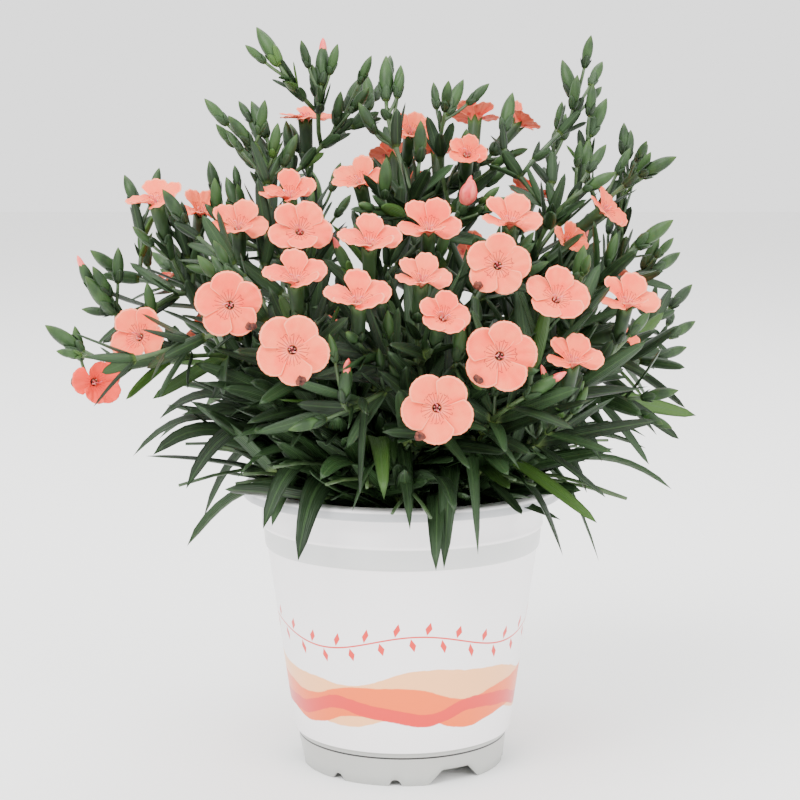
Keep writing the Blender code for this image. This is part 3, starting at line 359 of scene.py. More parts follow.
# At each point of a line, its direction and two directions square to it, the first close to across.
def frames(line, across):
    found = []
    for along in tangents(line):
        u = unit(across - along * (across @ along))
        found.append((along, u, np.cross(along, u)))
    return found


# Regular rings of points round a line; a radius of 0 makes a tip.
def ringsRound(line, radii, sides, across):
    angles = [2 * math.pi * (k + 0.5) / sides for k in range(sides)]
    rings = []
    for point, radius, (_, u, v) in zip(line, radii, frames(line, across)):
        ring = [point + radius * (math.cos(a) * u + math.sin(a) * v) for a in angles]
        rings.append(ring if radius else [point])
    return rings


# A loft of regular rings along a line.
def tube(line, radii, sides, across):
    return loft(ringsRound(line, radii, sides, across))


# Local points, with +Z along look, brought to at.
def place(points, at, look):
    reference = vec(0, 0, 1) if abs(look[2]) < 0.95 else vec(0, 1, 0)
    x = unit(np.cross(reference, look))
    y = np.cross(look, x)
    return at + points[:, :1] * x + points[:, 1:2] * y + points[:, 2:3] * look


# One petal's rim about +X, from its left root to its right root. Its left edge passes under its neighbour.
def petalOutline(size, cup):
    root, spread = bloomPlan["rootRadius"], bloomPlan["rootSpread"]
    points = []
    for degrees, share in bloomPlan["rim"]:
        angle, r = math.radians(degrees), size / 2 * share
        tilt = bloomPlan["tilt"] * math.sin(angle) * r
        points.append((r * math.cos(angle), r * math.sin(angle), cup * (r - root) * share + tilt))
    x, y = root * math.cos(spread), root * math.sin(spread)
    return [(x, -y, 0.0)] + points + [(x, y, 0.0)]


# Five overlapping petals round a throat, one closed body; each side of a petal is a fan.
def corolla(bloom, grow=0.0):
    size, cup = bloom["size"], bloom["cup"]
    half = bloomPlan["thickness"] / 2 + grow
    points, faces, petals = [(0.0, 0.0, half)], [], []
    for k in range(5):
        turn = 2 * math.pi * k / 5 + bloom["spin"]
        c, s = math.cos(turn), math.sin(turn)
        outline = petalOutline(size, cup)
        middle, level = size * bloomPlan["ridgeReach"], cup * size * bloomPlan["ridgeRise"]
        cork = (bloomPlan["corkRadius"] + grow, 0.0, -bloomPlan["cork"])
        centres = [(middle, 0.0, level + half), (middle, 0.0, level - half), cork]
        rim = range(len(points), len(points) + len(outline))
        points += [(c * x - s * y, s * x + c * y, z) for x, y, z in outline + centres]
        petals.append((rim, rim[-1] + 1))
    for k, (rim, upper) in enumerate(petals):
        lower, foot = upper + 1, upper + 2
        nextRim, nextUpper = petals[(k + 1) % 5]
        for a, b in zip(rim, rim[1:]):
            faces += [(upper, a, b), (lower, b, a)]
        faces += [(upper, rim[-1], 0), (upper, 0, rim[0]), (0, rim[-1], nextRim[0])]
        faces += [(lower, foot, rim[-1]), (lower, rim[0], foot)]
        faces += [(rim[-1], foot, nextRim[0]), (foot, nextUpper + 2, nextRim[0])]
    feet = [upper + 2 for _, upper in petals]
    faces += [(feet[0], feet[k + 1], feet[k]) for k in range(1, 4)]
    return place(np.array(points), bloom["at"], bloom["look"]), faces


# The room that a bloom's calyx and the end of its stem take, kept free until the stem is planned.
def calyx(bloom, grow=0.0):
    mouth = bloom["at"] - bloom["look"] * (bloomPlan["cork"] + clear["gap"])
    line = np.array([mouth - bloom["look"] * calyxPlan["length"] * share for share in calyxPlan["room"]])
    widest = calyxPlan["radius"]
    radii = [radius + grow for radius in (stemPlan["radius"], widest * calyxPlan["neck"], widest)]
    return tube(line, radii, stemPlan["sides"], unit(np.cross(bloom["look"], vec(0.2, 0.3, 0.9))))


# Where a head's stem ends and its calyx or bud begins.
def headFoot(head):
    isBloom = head["kind"] == "bloom"
    behind = calyxPlan["length"] + bloomPlan["cork"] + clear["gap"] if isBloom else head["size"] / 2
    return head["at"] - head["look"] * behind


# The radius of a bud of this length.
def budRadius(length):
    return budPlan["radius"] * length / budPlan["length"]


# The centreline of a stem, from where it starts to its head's foot.
def stemLine(stem, shares):
    start, foot, look = stem["start"], headFoot(stem["head"]), stem["head"]["look"]
    reach = np.linalg.norm(foot - start)
    first = unit(vec(0, 0, 1) * stem["lean"] + unit(foot - start) + stem["bow"])
    bends = start + first * reach * stemPlan["foot"], foot - look * reach * stemPlan["neck"]
    return bezier((start, *bends, foot), shares)


# The points and radii that a stem is lofted through, its calyx or bud last, from share first on.
def stemCourse(stem, swell=0.0, first=0.0):
    head, foot = stem["head"], headFoot(stem["head"])
    half = stemPlan["nodeHeight"] / 2 / np.linalg.norm(foot - stem["start"])
    joints = [joint + sign * half for joint in stem["joints"] for sign in (-1, 1)]
    shares = [0.0, stemPlan["rootShare"]] + joints
    line = list(stemLine(stem, [max(first + 0.001 * k, share) for k, share in enumerate(shares)]))
    radius = stemPlan["radius"]
    radii = [radius * stemPlan["taper"], radius] + [radius * stemPlan["nodeSwell"]] * len(joints)
    radii = [radius + swell for radius in radii]
    if head["kind"] == "bloom":
        length, radius, steps = calyxPlan["length"], calyxPlan["radius"], calyxPlan["shares"]
    else:
        length, radius, steps = head["size"], budRadius(head["size"]), budPlan["shares"]
    for share, width in steps:
        line.append(foot + head["look"] * length * share)
        radii.append(radius * width + swell if width else 0.0)
    return np.array(line), radii


# A stem's rings, from its root to the mouth of its calyx or the tip of its bud.
def stemRings(stem, swell=0.0, first=0.0):
    return ringsRound(*stemCourse(stem, swell, first), stemPlan["sides"], stem["across"])


# A shoot's foot, which stands in the compost, with the long leaves that its sides carry.
def stubMesh(shoot):
    heights = [potSize["soilTop"] + rise for rise in (-shootPlan["depth"],) + shootPlan["levels"]]
    line = np.array([shoot["foot"] + vec(0, 0, z) for z in heights])
    radii = [shootPlan["radius"]] * (len(line) - 1) + [shootPlan["radius"] * shootPlan["taper"]]
    return loft(ringsRound(line, radii, shootPlan["sides"], vec(1, 0, 0)), shoot["grown"])


# A shoot's main stem with all that grows on it.
def mainStemMesh(shoot):
    return loft(stemRings(shoot["stem"]), shoot["stem"]["grown"])


# A blade's sections, each of two edges and a keel, from its root, or from share first, to its tip.
def leafRings(leaf, swell=0.0, first=0.0):
    line = bezier(leaf["curve"], [max(share, first) for share, _ in leaf["stations"]])
    rings = []
    for point, along, (_, width) in zip(line, tangents(line), leaf["stations"]):
        side = unit(leaf["across"] - along * (leaf["across"] @ along))
        face = np.cross(side, along)
        half = leaf["halfWidth"] * width
        deep = max(stemLeafPlan["leastKeel"], half * stemLeafPlan["keel"]) + swell
        ring = [point - side * (half + swell), point + side * (half + swell), point - face * deep]
        rings.append(ring if width else [point + along * swell])
    return rings


# What has been placed so far, to keep new pieces clear of it.
class Thicket:

    def __init__(self):
        self.placed = {}

    # Takes note of a placed mesh, in place of the one of that name.
    def put(self, name, mesh, node):
        points, faces = mesh
        self.placed[name] = (BVHTree.FromPolygons(points.tolist(), faces), points.min(0), points.max(0), node)

    # Whether the mesh meets nothing placed, besides what belongs to those nodes.
    def clear(self, mesh, *besides):
        points, faces = mesh
        low, high = points.min(0), points.max(0)
        tree = None
        for other, otherLow, otherHigh, node in self.placed.values():
            if node in besides or (low > otherHigh).any() or (high < otherLow).any():
                continue
            tree = tree or BVHTree.FromPolygons(points.tolist(), faces)
            if tree.overlap(other):
                return False
        return True


# The shoots: name, place on the unit disc, and foot on the compost.
def planShoots():
    found = []
    for count, share, first in shootPlan["rings"]:
        for k in range(count):
            disc = looking(first + 360 * k / count) * share
            name = f"leafy_stem_{len(found) + 1:02d}"
            found.append({"node": name, "disc": disc, "foot": disc * shootPlan["spread"]})
            found[-1].update(grown={}, stem=None, stems=[], own=[])
    return found


# Every bloom, and every bud that ends a stem, with its place and where it looks.
def planHeads(rng):
    heads = []
    for across, down, depth, turn, lift, size, cup, petal in frontBlooms:
        heads.append({
            "kind": "bloom", "at": seenAt(across, down, depth), "look": looking(turn, lift), "size": size,
            "cup": cup, "spin": math.radians(petal + rng.uniform(*bloomPlan["petalStray"])),
        })
    for azimuth, elevation in hidden["blooms"]:
        heads.append({
            "kind": "bloom", "at": onDome(azimuth, elevation), "spin": rng.uniform(0, 2 * math.pi / 5),
            "look": looking(azimuth + within(hidden["turn"], rng),
                            elevation * hidden["follow"] + rng.uniform(*hidden["lift"])),
            "size": hidden["bloomSize"] * rng.uniform(*hidden["sizes"]), "cup": rng.uniform(*hidden["cups"]),
        })
    for across, down, depth, lean, length in frontBuds:
        turn, nod = math.radians(lean), math.radians(budPlan["nod"] if depth > 0 else -budPlan["nod"])
        look = vec(math.sin(turn) * math.cos(nod), math.sin(nod), math.cos(turn) * math.cos(nod))
        heads.append({"kind": "bud", "at": seenAt(across, down, depth), "look": look, "size": length})
    for azimuth, elevation in hidden["buds"]:
        look = looking(azimuth, min(hidden["budTop"], elevation + hidden["budLift"]))
        at = onDome(azimuth, elevation, hidden["budReach"])
        size = budPlan["length"] * rng.uniform(*hidden["budSizes"])
        heads.append({"kind": "bud", "at": at, "look": look, "size": size})
    return heads


# Sets each bloom at the nearest depth where it and its calyx are clear of the others.
def placeBlooms(blooms, thicket):
    for number, bloom in enumerate(blooms, 1):
        bloom["node"] = f"bloom_{number:02d}"
        start = bloom["at"]
        for attempt in range(clear["shifts"]):
            bloom["at"] = start + vec(0, 1, 0) * (clear["shift"] * attempt * (-1 if attempt % 2 else 1))
            if thicket.clear(corolla(bloom, clear["apart"])) and thicket.clear(calyx(bloom, clear["apart"])):
                break
        else:
            print("no clear place for", bloom["node"])
        thicket.put(bloom["node"], corolla(bloom), bloom["node"])
        thicket.put(bloom["node"] + "_calyx", calyx(bloom), bloom["node"] + "_calyx")


# Whether faces of the mesh that share no corner meet.
def crossesItself(mesh):
    points, faces = mesh
    tree = BVHTree.FromPolygons(points.tolist(), faces)
    return any(a < b and not set(faces[a]) & set(faces[b]) for a, b in tree.overlap(tree))


# A stem to a head, which leaves its start the way that away points.
def newStem(head, shoot, start, away, bend, spinAxis, rng):
    lean, bow = bend
    across = unit(np.cross(head["at"] - start, vec(0, 0, 1))) * bow * rng.uniform(*stemPlan["bow"])
    stem = {"kind": "stem", "head": head, "start": start, "lean": lean, "bow": across + away, "shoot": shoot}
    reach = np.linalg.norm(headFoot(head) - start)
    joints = next(shares for length, shares in stemPlan["joints"] if reach < length)
    stem["joints"] = [share + within(stemPlan["jointShift"], rng) for share in joints]
    stem["across"], stem["grown"], stem["node"] = spinAxis, {}, shoot["node"]
    return stem


# The free sides of a stem's joints: place on the stem, middle, outward and upward directions.
def jointSides(stem):
    line, radii = stemCourse(stem)
    directions = frames(line, stem["across"])
    for joint in range(len(stem["joints"])):
        level = 2 + 2 * joint
        along, u, v = directions[level]
        for side, out in enumerate((v, -u, -v, u)):
            if (level, side) not in stem["grown"]:
                at = (line[level] + line[level + 1]) / 2 + out * radii[level] * math.sqrt(0.5)
                yield (level, side), at, out, along


# Stems that could carry a head, on the nearer shoots: the main one, or a branch from a joint.
def waysTo(head, shoots, rng):
    spread = head["at"] * vec(1, 1, 0) / shootPlan["headSpread"]
    for shoot in sorted(shoots, key=lambda s: np.linalg.norm(s["disc"] - spread))[:shootPlan["tried"]]:
        if not shoot["stem"]:
            for bend in stemPlan["bends"]:
                start = shoot["foot"] + vec(0, 0, potSize["soilTop"] + 1)
                yield newStem(head, shoot, start, vec(0, 0, 0), bend, vec(1, 0.2, 0), rng), None, None
            continue
        options = []
        for host in shoot["stems"]:
            for place, at, out, along in jointSides(host):
                reach = np.linalg.norm(headFoot(head) - at)
                way = (headFoot(head) - at) / reach
                faces = way @ along > stemPlan["alongShare"] and way @ out > stemPlan["outShare"]
                if faces and reach > stemPlan["leastBranch"]:
                    cost = reach - stemPlan["facingGain"] * (way @ out)
                    options.append((cost, len(options), host, place, at, out, along))
        for _, _, host, place, at, out, along in sorted(options)[:stemPlan["hostsTried"]]:
            for bend in stemPlan["bends"]:
                kick = out * stemPlan["kick"]
                yield newStem(head, shoot, at, kick, bend, np.cross(out, along), rng), host, place


# A stem for each head, blooms before buds, each clear of what is there already.
def planStems(heads, shoots, thicket, rng):
    count = 0
    middle = vec(0, 0, potSize["soilTop"])
    for head in sorted(heads, key=lambda h: (h["kind"] == "bud", np.linalg.norm(h["at"] - middle))):
        ownCalyx = head.get("node", "") + "_calyx"
        for stem, host, place in waysTo(head, shoots, rng):
            shoot = stem["shoot"]
            wide = loft(stemRings(stem, clear["apart"], clear["stemFree"]))
            if not thicket.clear(wide, stem["node"], ownCalyx):
                continue
            if not thicket.clear(loft(stemRings(stem, clear["touch"], clear["stemClear"])), ownCalyx):
                continue
            if host is None:
                shoot["stem"] = stem
                break
            host["grown"][place] = stem
            mesh = mainStemMesh(shoot)
            if not crossesItself(mesh) and thicket.clear(mesh, stem["node"], ownCalyx, *shoot["own"]):
                break
            del host["grown"][place]
        else:
            print("no clear way for a", head["kind"], np.round(head["at"]))
            continue
        shoot["stems"].append(stem)
        shoot["own"].append(ownCalyx)
        thicket.put(shoot["node"] + "_stem", mainStemMesh(shoot), shoot["node"])
        count += 1
    return count


# A leaf's size, by how far from the middle of the compost it grows.
def graded(at, sizes):
    near, far = stemLeafPlan["reaches"]
    reach = np.linalg.norm(at - vec(0, 0, potSize["soilTop"]))
    share = min(1.0, max(0.0, (reach - near) / (far - near)))
    return sizes[0] + (sizes[1] - sizes[0]) * share


# A leaf on one side of a stem's joint.
def stemLeaf(at, out, along, rng):
    out = unit(out + np.cross(along, out) * within(stemLeafPlan["twist"], rng))
    spread = math.radians(rng.uniform(*stemLeafPlan["spread"]))
    way = along * math.cos(spread) + out * math.sin(spread)
    length = graded(at, stemLeafPlan["lengths"]) * rng.uniform(*stemLeafPlan["lengthRange"])
    tip = at + way * length * stemLeafPlan["tip"] + out * length * rng.uniform(*stemLeafPlan["curl"])
    halfWidth = graded(at, stemLeafPlan["halfWidths"]) * rng.uniform(*stemLeafPlan["widthRange"])
    return {
        "kind": "leaf", "curve": (at, at + way * length / 2, tip), "across": unit(np.cross(way, along)),
        "halfWidth": halfWidth, "stations": stemLeafPlan["stations"],
    }


# A long leaf that rises from one side of a shoot's foot and hangs over the rim to its tip.
def hangingLeaf(tip, shoot, level, side, arch, halfWidth):
    height = potSize["soilTop"] + (shootPlan["levels"][level - 1] + shootPlan["levels"][level]) / 2
    out = looking(stubSideTurn(side))
    root = shoot["foot"] + out * shootPlan["radius"] * longLeaf["root"] + vec(0, 0, height)
    outward = (tip - root) * vec(1, 1, 0)
    rise = max(0.0, tip[2] - root[2]) * longLeaf["rise"] + arch * longLeaf["arch"]
    bend = root + outward * longLeaf["bend"] + out * longLeaf["kick"] + vec(0, 0, rise)
    return {
        "kind": "leaf", "curve": (root, bend, tip), "across": unit(np.cross(outward, vec(0, 0, 1))),
        "halfWidth": halfWidth, "stations": longLeaf["stations"],
    }


# Grows a leaf from a host's side if it is clear of everything and stays within the crown.
def settle(leaf, host, place, shoot, part, thicket):
    if abs(leaf["curve"][2][:2]).max() > clear["crownReach"]:
        return False
    if not thicket.clear(loft(leafRings(leaf, clear["apart"])), shoot["node"]):
        return False
    if not thicket.clear(loft(leafRings(leaf, clear["touch"], clear["leafClear"]))):
        return False
    host["grown"][place] = leaf
    mesh = stubMesh(shoot) if part == "stub" else mainStemMesh(shoot)
    if crossesItself(mesh) or not thicket.clear(mesh, shoot["node"], *shoot["own"]):
        del host["grown"][place]
        return False
    thicket.put(f"{shoot['node']}_{part}", mesh, shoot["node"])
    return True


# Which way one of the sides of a shoot's foot faces.
def stubSideTurn(side):
    return 90 + 360 * (side + 1) / shootPlan["sides"]


# A point this way, at some reach and height.
def someTip(azimuth, reaches, heights, rng):
    return looking(azimuth) * rng.uniform(*reaches) + vec(0, 0, rng.uniform(*heights))


# The leaves that hang over the rim, each on a free side of an outer shoot's foot.
def planHangingLeaves(shoots, thicket, rng):
    tips = [(seenAt(a, d, depth), arch, half) for a, d, depth, arch, half in frontLeaves]
    turnStray, reachStray, heightStray = longLeaf["stray"]
    for k in range(longLeaf["skirtCount"]):
        azimuth = longLeaf["skirtFirst"] + longLeaf["skirtSpan"] * (k + 0.5) / longLeaf["skirtCount"]
        azimuth += rng.uniform(*turnStray)
        reach, height = longLeaf["skirtTips"][k % len(longLeaf["skirtTips"])]
        reach += rng.uniform(*reachStray)
        tip = looking(azimuth) * reach + vec(0, 0, height + rng.uniform(*heightStray))
        tips.append((tip, rng.uniform(*longLeaf["skirtArch"]), rng.uniform(*longLeaf["halfWidths"])))
    for k in range(longLeaf["tuftCount"]):
        tip = someTip(longLeaf["tuftStep"] * k, longLeaf["tuftReach"], longLeaf["tuftHeight"], rng)
        tips.append((tip, rng.uniform(*longLeaf["tuftArch"]), rng.uniform(*longLeaf["halfWidths"])))
    for tip, arch, half in tips:
        if not hang(tip, arch, half, longLeaf["hangingLevels"], shoots, thicket):
            print("no room for a hanging leaf to", np.round(tip))


# Grows a hanging leaf to this tip from the best free side of a shoot's foot.
def hang(tip, arch, half, levels, shoots, thicket):
    step = longLeaf["archStep"]
    bends = [step * attempt * (-1 if attempt % 2 else 1.5) for attempt in range(clear["tries"])]
    for shoot in sorted(shoots, key=lambda s: -(tip @ s["disc"]))[:shootPlan["tried"]]:
        way = unit((tip - shoot["foot"]) * vec(1, 1, 0))
        facing = [looking(stubSideTurn(side)) @ way for side in range(shootPlan["sides"])]
        sides = [side for side, share in enumerate(facing) if share > longLeaf["leastFacing"]]
        sides.sort(key=lambda side: -facing[side])
        places = [(level, side) for side in sides for level in levels]
        for place in [place for place in places if place not in shoot["grown"]]:
            for bend in bends:
                leaf = hangingLeaf(tip, shoot, *place, arch + bend, half)
                if settle(leaf, shoot, place, shoot, "stub", thicket):
                    return True
    return False


# Leaves at the stems' joints: opposite pairs first, less those that find no room.
def planStemLeaves(shoots, thicket, rng):
    count = 0
    for rank in range(stemLeafPlan["rounds"]):
        for shoot in shoots:
            for stem in shoot["stems"]:
                for place, at, out, along in list(jointSides(stem)):
                    if (place[1] + place[0] // 2 + rank) % 2:
                        continue
                    for _ in range(clear["tries"]):
                        leaf = stemLeaf(at, out, along, rng)
                        if settle(leaf, stem, place, shoot, "stem", thicket):
                            count += 1
                            break
    return count


# Leaves that fill the foot of the plant, on the sides that the shoots' feet have left.
def planLowLeaves(shoots, thicket, rng):
    count = 0
    for k in range(longLeaf["lowCount"]):
        azimuth = longLeaf["lowFirst"] + longLeaf["tuftStep"] * k
        tip = someTip(azimuth, longLeaf["lowReach"], longLeaf["lowHeight"], rng)
        arch, half = rng.uniform(*longLeaf["lowArch"]), rng.uniform(*longLeaf["halfWidths"])
        count += hang(tip, arch, half, longLeaf["lowLevels"], shoots, thicket)
    return count


# Triangles of a closed skin over a grid of rings that run anticlockwise round the way ahead. Its two
# ends close on one more point each, numbered after the grid.
def tubeSkin(rows, columns, known={}):
    if (rows, columns) not in known:
        r, c = np.meshgrid(np.arange(rows - 1), np.arange(columns), indexing="ij")
        a, b = r * columns + c, r * columns + (c + 1) % columns
        walls = np.stack([a, b, b + columns, a, b + columns, a + columns], -1).reshape(-1, 3)
        k = np.arange(columns)
        first, last = rows * columns, rows * columns + 1
        lastRing = first - columns
        low = np.stack([np.full(columns, first), (k + 1) % columns, k], -1)
        high = np.stack([np.full(columns, last), lastRing + k, lastRing + (k + 1) % columns], -1)
        known[rows, columns] = np.vstack([walls, low, high])
    return known[rows, columns]


# Triangles of a thin plate: the grid of its upper face, that of its lower face, and the edge between.
def plateSkin(rows, columns, known={}):
    if (rows, columns) not in known:
        r, c = np.meshgrid(np.arange(rows - 1), np.arange(columns - 1), indexing="ij")
        a = r * columns + c
        upper = np.stack([a, a + columns + 1, a + 1, a, a + columns, a + columns + 1], -1).reshape(-1, 3)
        size = rows * columns
        lower = upper[:, ::-1] + size
        grid = np.arange(size).reshape(rows, columns)
        loop = np.concatenate([grid[0], grid[1:, -1], grid[-1, -2::-1], grid[-2:0:-1, 0]])
        after = np.roll(loop, -1)
        edge = np.stack([loop, after, after + size, loop, after + size, loop + size], -1).reshape(-1, 3)
        known[rows, columns] = np.vstack([upper, lower, edge])
    return known[rows, columns]


# Puts a new object into the scene.
def newObject(name, data):
    made = bpy.data.objects.new(name, data)
    bpy.context.scene.collection.objects.link(made)
    return made


# Gathers the surfaces of one piece, in millimetres, with what its materials read at each point.
class Sheaf:
    def __init__(self):
        self.points, self.faces, self.slots, self.facts, self.count = [], [], [], [], 0

    def add(self, points, faces, slot, along=0.0, across=0.0, tone=0.5, side=1.0):
        size = len(points)
        self.points.append(points)
        self.faces.append(faces + self.count)
        self.slots.append(np.full(len(faces), slot))
        facts = [np.broadcast_to(np.asarray(fact, float), size) for fact in (along, across, tone, side)]
        self.facts.append(np.stack(facts))
        self.count += size

    # Rings of points as one closed skin; along and across are given for the grid.
    def tube(self, rings, slot, start=None, end=None, along=None, across=0.0, tone=0.5):
        rows, columns = rings.shape[:2]
        start = rings[0].mean(0) if start is None else start
        end = rings[-1].mean(0) if end is None else end
        along = np.linspace(0, 1, rows) if along is None else along
        along = np.concatenate([np.repeat(along, columns), [along[0], along[-1]]])
        across = np.broadcast_to(np.asarray(across, float), (rows, columns)).ravel()
        across = np.concatenate([across, [0.0, 0.0]])
        points = np.vstack([rings.reshape(-1, 3), start, end])
        self.add(points, tubeSkin(rows, columns), slot, along, across, tone)

    # Makes the object, with its finishes, its body and the frame nodes that it stands for.
    def make(self, name, finishes, slot, *nodes):
        points, faces = np.vstack(self.points) * mm, np.vstack(self.faces)
        facts, slots = np.hstack(self.facts), np.concatenate(self.slots)
        data = bpy.data.meshes.new(name)
        data.vertices.add(len(points))
        data.vertices.foreach_set("co", points.astype(np.float32).ravel())
        data.loops.add(faces.size)
        data.loops.foreach_set("vertex_index", faces.astype(np.int32).ravel())
        data.polygons.add(len(faces))
        data.polygons.foreach_set("loop_start", np.arange(0, faces.size, 3, dtype=np.int32))
        data.polygons.foreach_set("material_index", slots.astype(np.int32))
        data.polygons.foreach_set("use_smooth", np.ones(len(faces), bool))
        data.update(calc_edges=True)
        for label, values in zip(("along", "across", "tone", "side"), facts):
            data.attributes.new(label, "FLOAT", "POINT").data.foreach_set("value", values.astype(np.float32))
        for finish in finishes:
            data.materials.append(finish)
        piece = newObject(name, data)
        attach(piece, "root")
        if nodes:
            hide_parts(*nodes)
        return piece


# At each point of a line, its direction and two directions square to it, as arrays of rows.
def railFrames(line, across):
    along = np.gradient(line, axis=0)
    along /= np.linalg.norm(along, axis=1)[:, None]
    u = across - along * (along @ across)[:, None]
    u /= np.linalg.norm(u, axis=1)[:, None]
    return along, u, np.cross(along, u)


# Round rings along a line: each point is the line's, plus its radius times cos and sin of the angle.
def roundRings(line, radii, columns, across, ribs=0.0):
    along, u, v = railFrames(line, across)
    angles = np.linspace(0, 2 * np.pi, columns, endpoint=False)
    radii = np.asarray(radii)[:, None] * (1 + ribs * np.cos(5 * angles))
    ring = np.cos(angles)[None, :, None] * u[:, None] + np.sin(angles)[None, :, None] * v[:, None]
    return line[:, None] + radii[..., None] * ring


# A direction square to look, for the first point of each ring round it.
def squareTo(look):
    return unit(np.cross(look, vec(0.3, 0.2, 0.93)))


# The middle one of three points, the direction of the line there, and two directions square to it.
def middleFrame(line, across):
    return line[1], *(part[1] for part in railFrames(line, across))


slanted = vec(0.9, 0.3, 0.2)     # a direction that no stalk has
blade = {
    "rows": 9, "crowding": 0.9, "tipPower": 0.5, "rootPower": 0.34, "rootOffset": 0.07,
    "section": ((1.0, 0.0), (0.55, 0.26), (0.0, 0.40), (-0.55, 0.26), (-1.0, 0.0), (-0.5, 0.10),
                (0.0, 0.19), (0.5, 0.10)),           # across and down, as shares of the half width
}


# A blade along a curve of three points: its half width goes as (t + a)^p (1 - t)^q, and its section is
# a shallow gutter with a keel below, twisted a little on the way to the tip.
def addBlade(sheaf, slot, curve, across, halfWidth, tone, twist=0.0, rows=None, keel=1.0):
    t = np.linspace(0, 1, (rows or blade["rows"]) + 1)[:-1] ** blade["crowding"]
    line = bezier(curve, np.append(t, 1.0))
    along, side, down = (part[:-1] for part in railFrames(line, across))
    turn = (twist * t)[:, None]
    side, down = side * np.cos(turn) + down * np.sin(turn), down * np.cos(turn) - side * np.sin(turn)
    p, q, a = blade["rootPower"], blade["tipPower"], blade["rootOffset"]
    width = (t + a) ** p * (1 - t) ** q
    width = halfWidth * width / width.max()
    section = np.array(blade["section"])
    rings = (line[:-1, None] + side[:, None] * section[None, :, :1] * width[:, None, None]
             + down[:, None] * section[None, :, 1:] * width[:, None, None] * keel)
    sheaf.tube(rings, slot, end=line[-1], along=t, across=section[:, 0][None, :], tone=tone)


stalk = {
    "columns": 8, "spacing": 4.5, "leastRows": 6, "swell": 0.42, "swellReach": 1.5, "neck": 0.78,
    "root": 0.85, "atJoints": (-1.6, -0.7, 0.0, 0.7, 1.6),
}


# A stem along its planned line: round, with a swelling at each joint, thinner towards its head.
def addStem(sheaf, slot, stem, tone):
    reach = np.linalg.norm(headFoot(stem["head"]) - stem["start"])
    joints = np.array(stem["joints"])
    shares = np.linspace(0, 1, max(stalk["leastRows"], int(reach / stalk["spacing"])))
    near = (joints[:, None] + np.array(stalk["atJoints"]) / reach).ravel()
    shares = np.unique(np.clip(np.concatenate([shares, near]), 0, 1))
    line = stemLine(stem, shares)
    gaps = (shares[:, None] - joints) * reach / stalk["swellReach"]
    swell = 1 + stalk["swell"] * np.exp(-gaps**2).sum(1)
    radii = stemPlan["radius"] * (1 + (stalk["neck"] - 1) * shares) * swell
    radii[0] *= stalk["root"]
    sheaf.tube(roundRings(line, radii, stalk["columns"], stem["across"]), slot, along=shares, tone=tone)


budForm = {
    "stations": ((0, 0.38), (0.06, 0.46), (0.14, 0.60), (0.26, 0.82), (0.40, 0.98), (0.52, 1.0), (0.66, 0.90),
                 (0.78, 0.70), (0.88, 0.44), (0.95, 0.22), (0.985, 0.09)),
    "columns": 10, "ribs": 0.035,
    "scales": ((0.0, 0.44, 2.3), (90.0, 0.30, 2.0)),     # turn, length as a share of the bud's, half width
    "hug": (0.2, 0.75, 1.06),                            # how far out a scale starts, bends and ends
    "tip": ((0.74, 0.52), (0.82, 0.55), (0.92, 0.50), (1.02, 0.36), (1.10, 0.16)),
    "tipEnd": 1.13, "tipRibs": 0.12,
}
plannedRadius = 3.0     # of the bud for which the scales' half widths are given


# Two pairs of scales round a foot: the way out of each, its length's share and its half width.
def scalesRound(scales, look, spin):
    across = squareTo(look)
    side = np.cross(look, across)
    for turn, share, half in scales:
        for angle in (math.radians(turn) + spin, math.radians(turn + 180) + spin):
            yield across * math.cos(angle) + side * math.sin(angle), share, half


# A closed bud: a rounded spindle with faint ribs, hugged by two pairs of pointed scales, and petals that
# show at its tip if it is about to open.
def addBud(sheaf, slots, foot, look, length, radius, tone, spin, tip=False):
    stations = np.array(budForm["stations"])
    line = foot + look * (stations[:, :1] * length)
    rings = roundRings(line, radius * stations[:, 1], budForm["columns"], squareTo(look), budForm["ribs"])
    sheaf.tube(rings, slots["bud"], end=foot + look * length, along=stations[:, 0], tone=tone)
    low, bent, high = budForm["hug"]
    for out, share, half in scalesRound(budForm["scales"], look, spin):
        reach = length * share
        bend = foot + out * radius * bent + look * reach * 0.5
        curve = (foot + out * radius * low, bend, foot + out * radius * high + look * reach)
        half = half * radius / plannedRadius
        addBlade(sheaf, slots["scale"], curve, np.cross(out, look), half, tone, rows=5, keel=0.9)
    if tip:
        shares, widths = np.array(budForm["tip"]).T
        line = foot + look * (shares[:, None] * length)
        petals = roundRings(line, radius * widths, budForm["columns"], squareTo(look), budForm["tipRibs"])
        end = foot + look * length * budForm["tipEnd"]
        sheaf.tube(petals, slots["petalTip"], end=end, along=shares, tone=tone)


calyxForm = {
    "stations": ((0, 0.42), (0.06, 0.62), (0.16, 0.82), (0.32, 0.94), (0.5, 1.0), (0.7, 1.0), (0.86, 0.98),
                 (1.0, 1.0)),
    "columns": 20, "girth": 0.9, "teeth": 2.6, "flare": 0.25, "mouth": 1.0,
    "scales": ((0.0, 0.40, 1.9), (90.0, 0.30, 1.7)), "root": 0.6, "hug": (1.1, 1.15), "bend": 0.4,
}


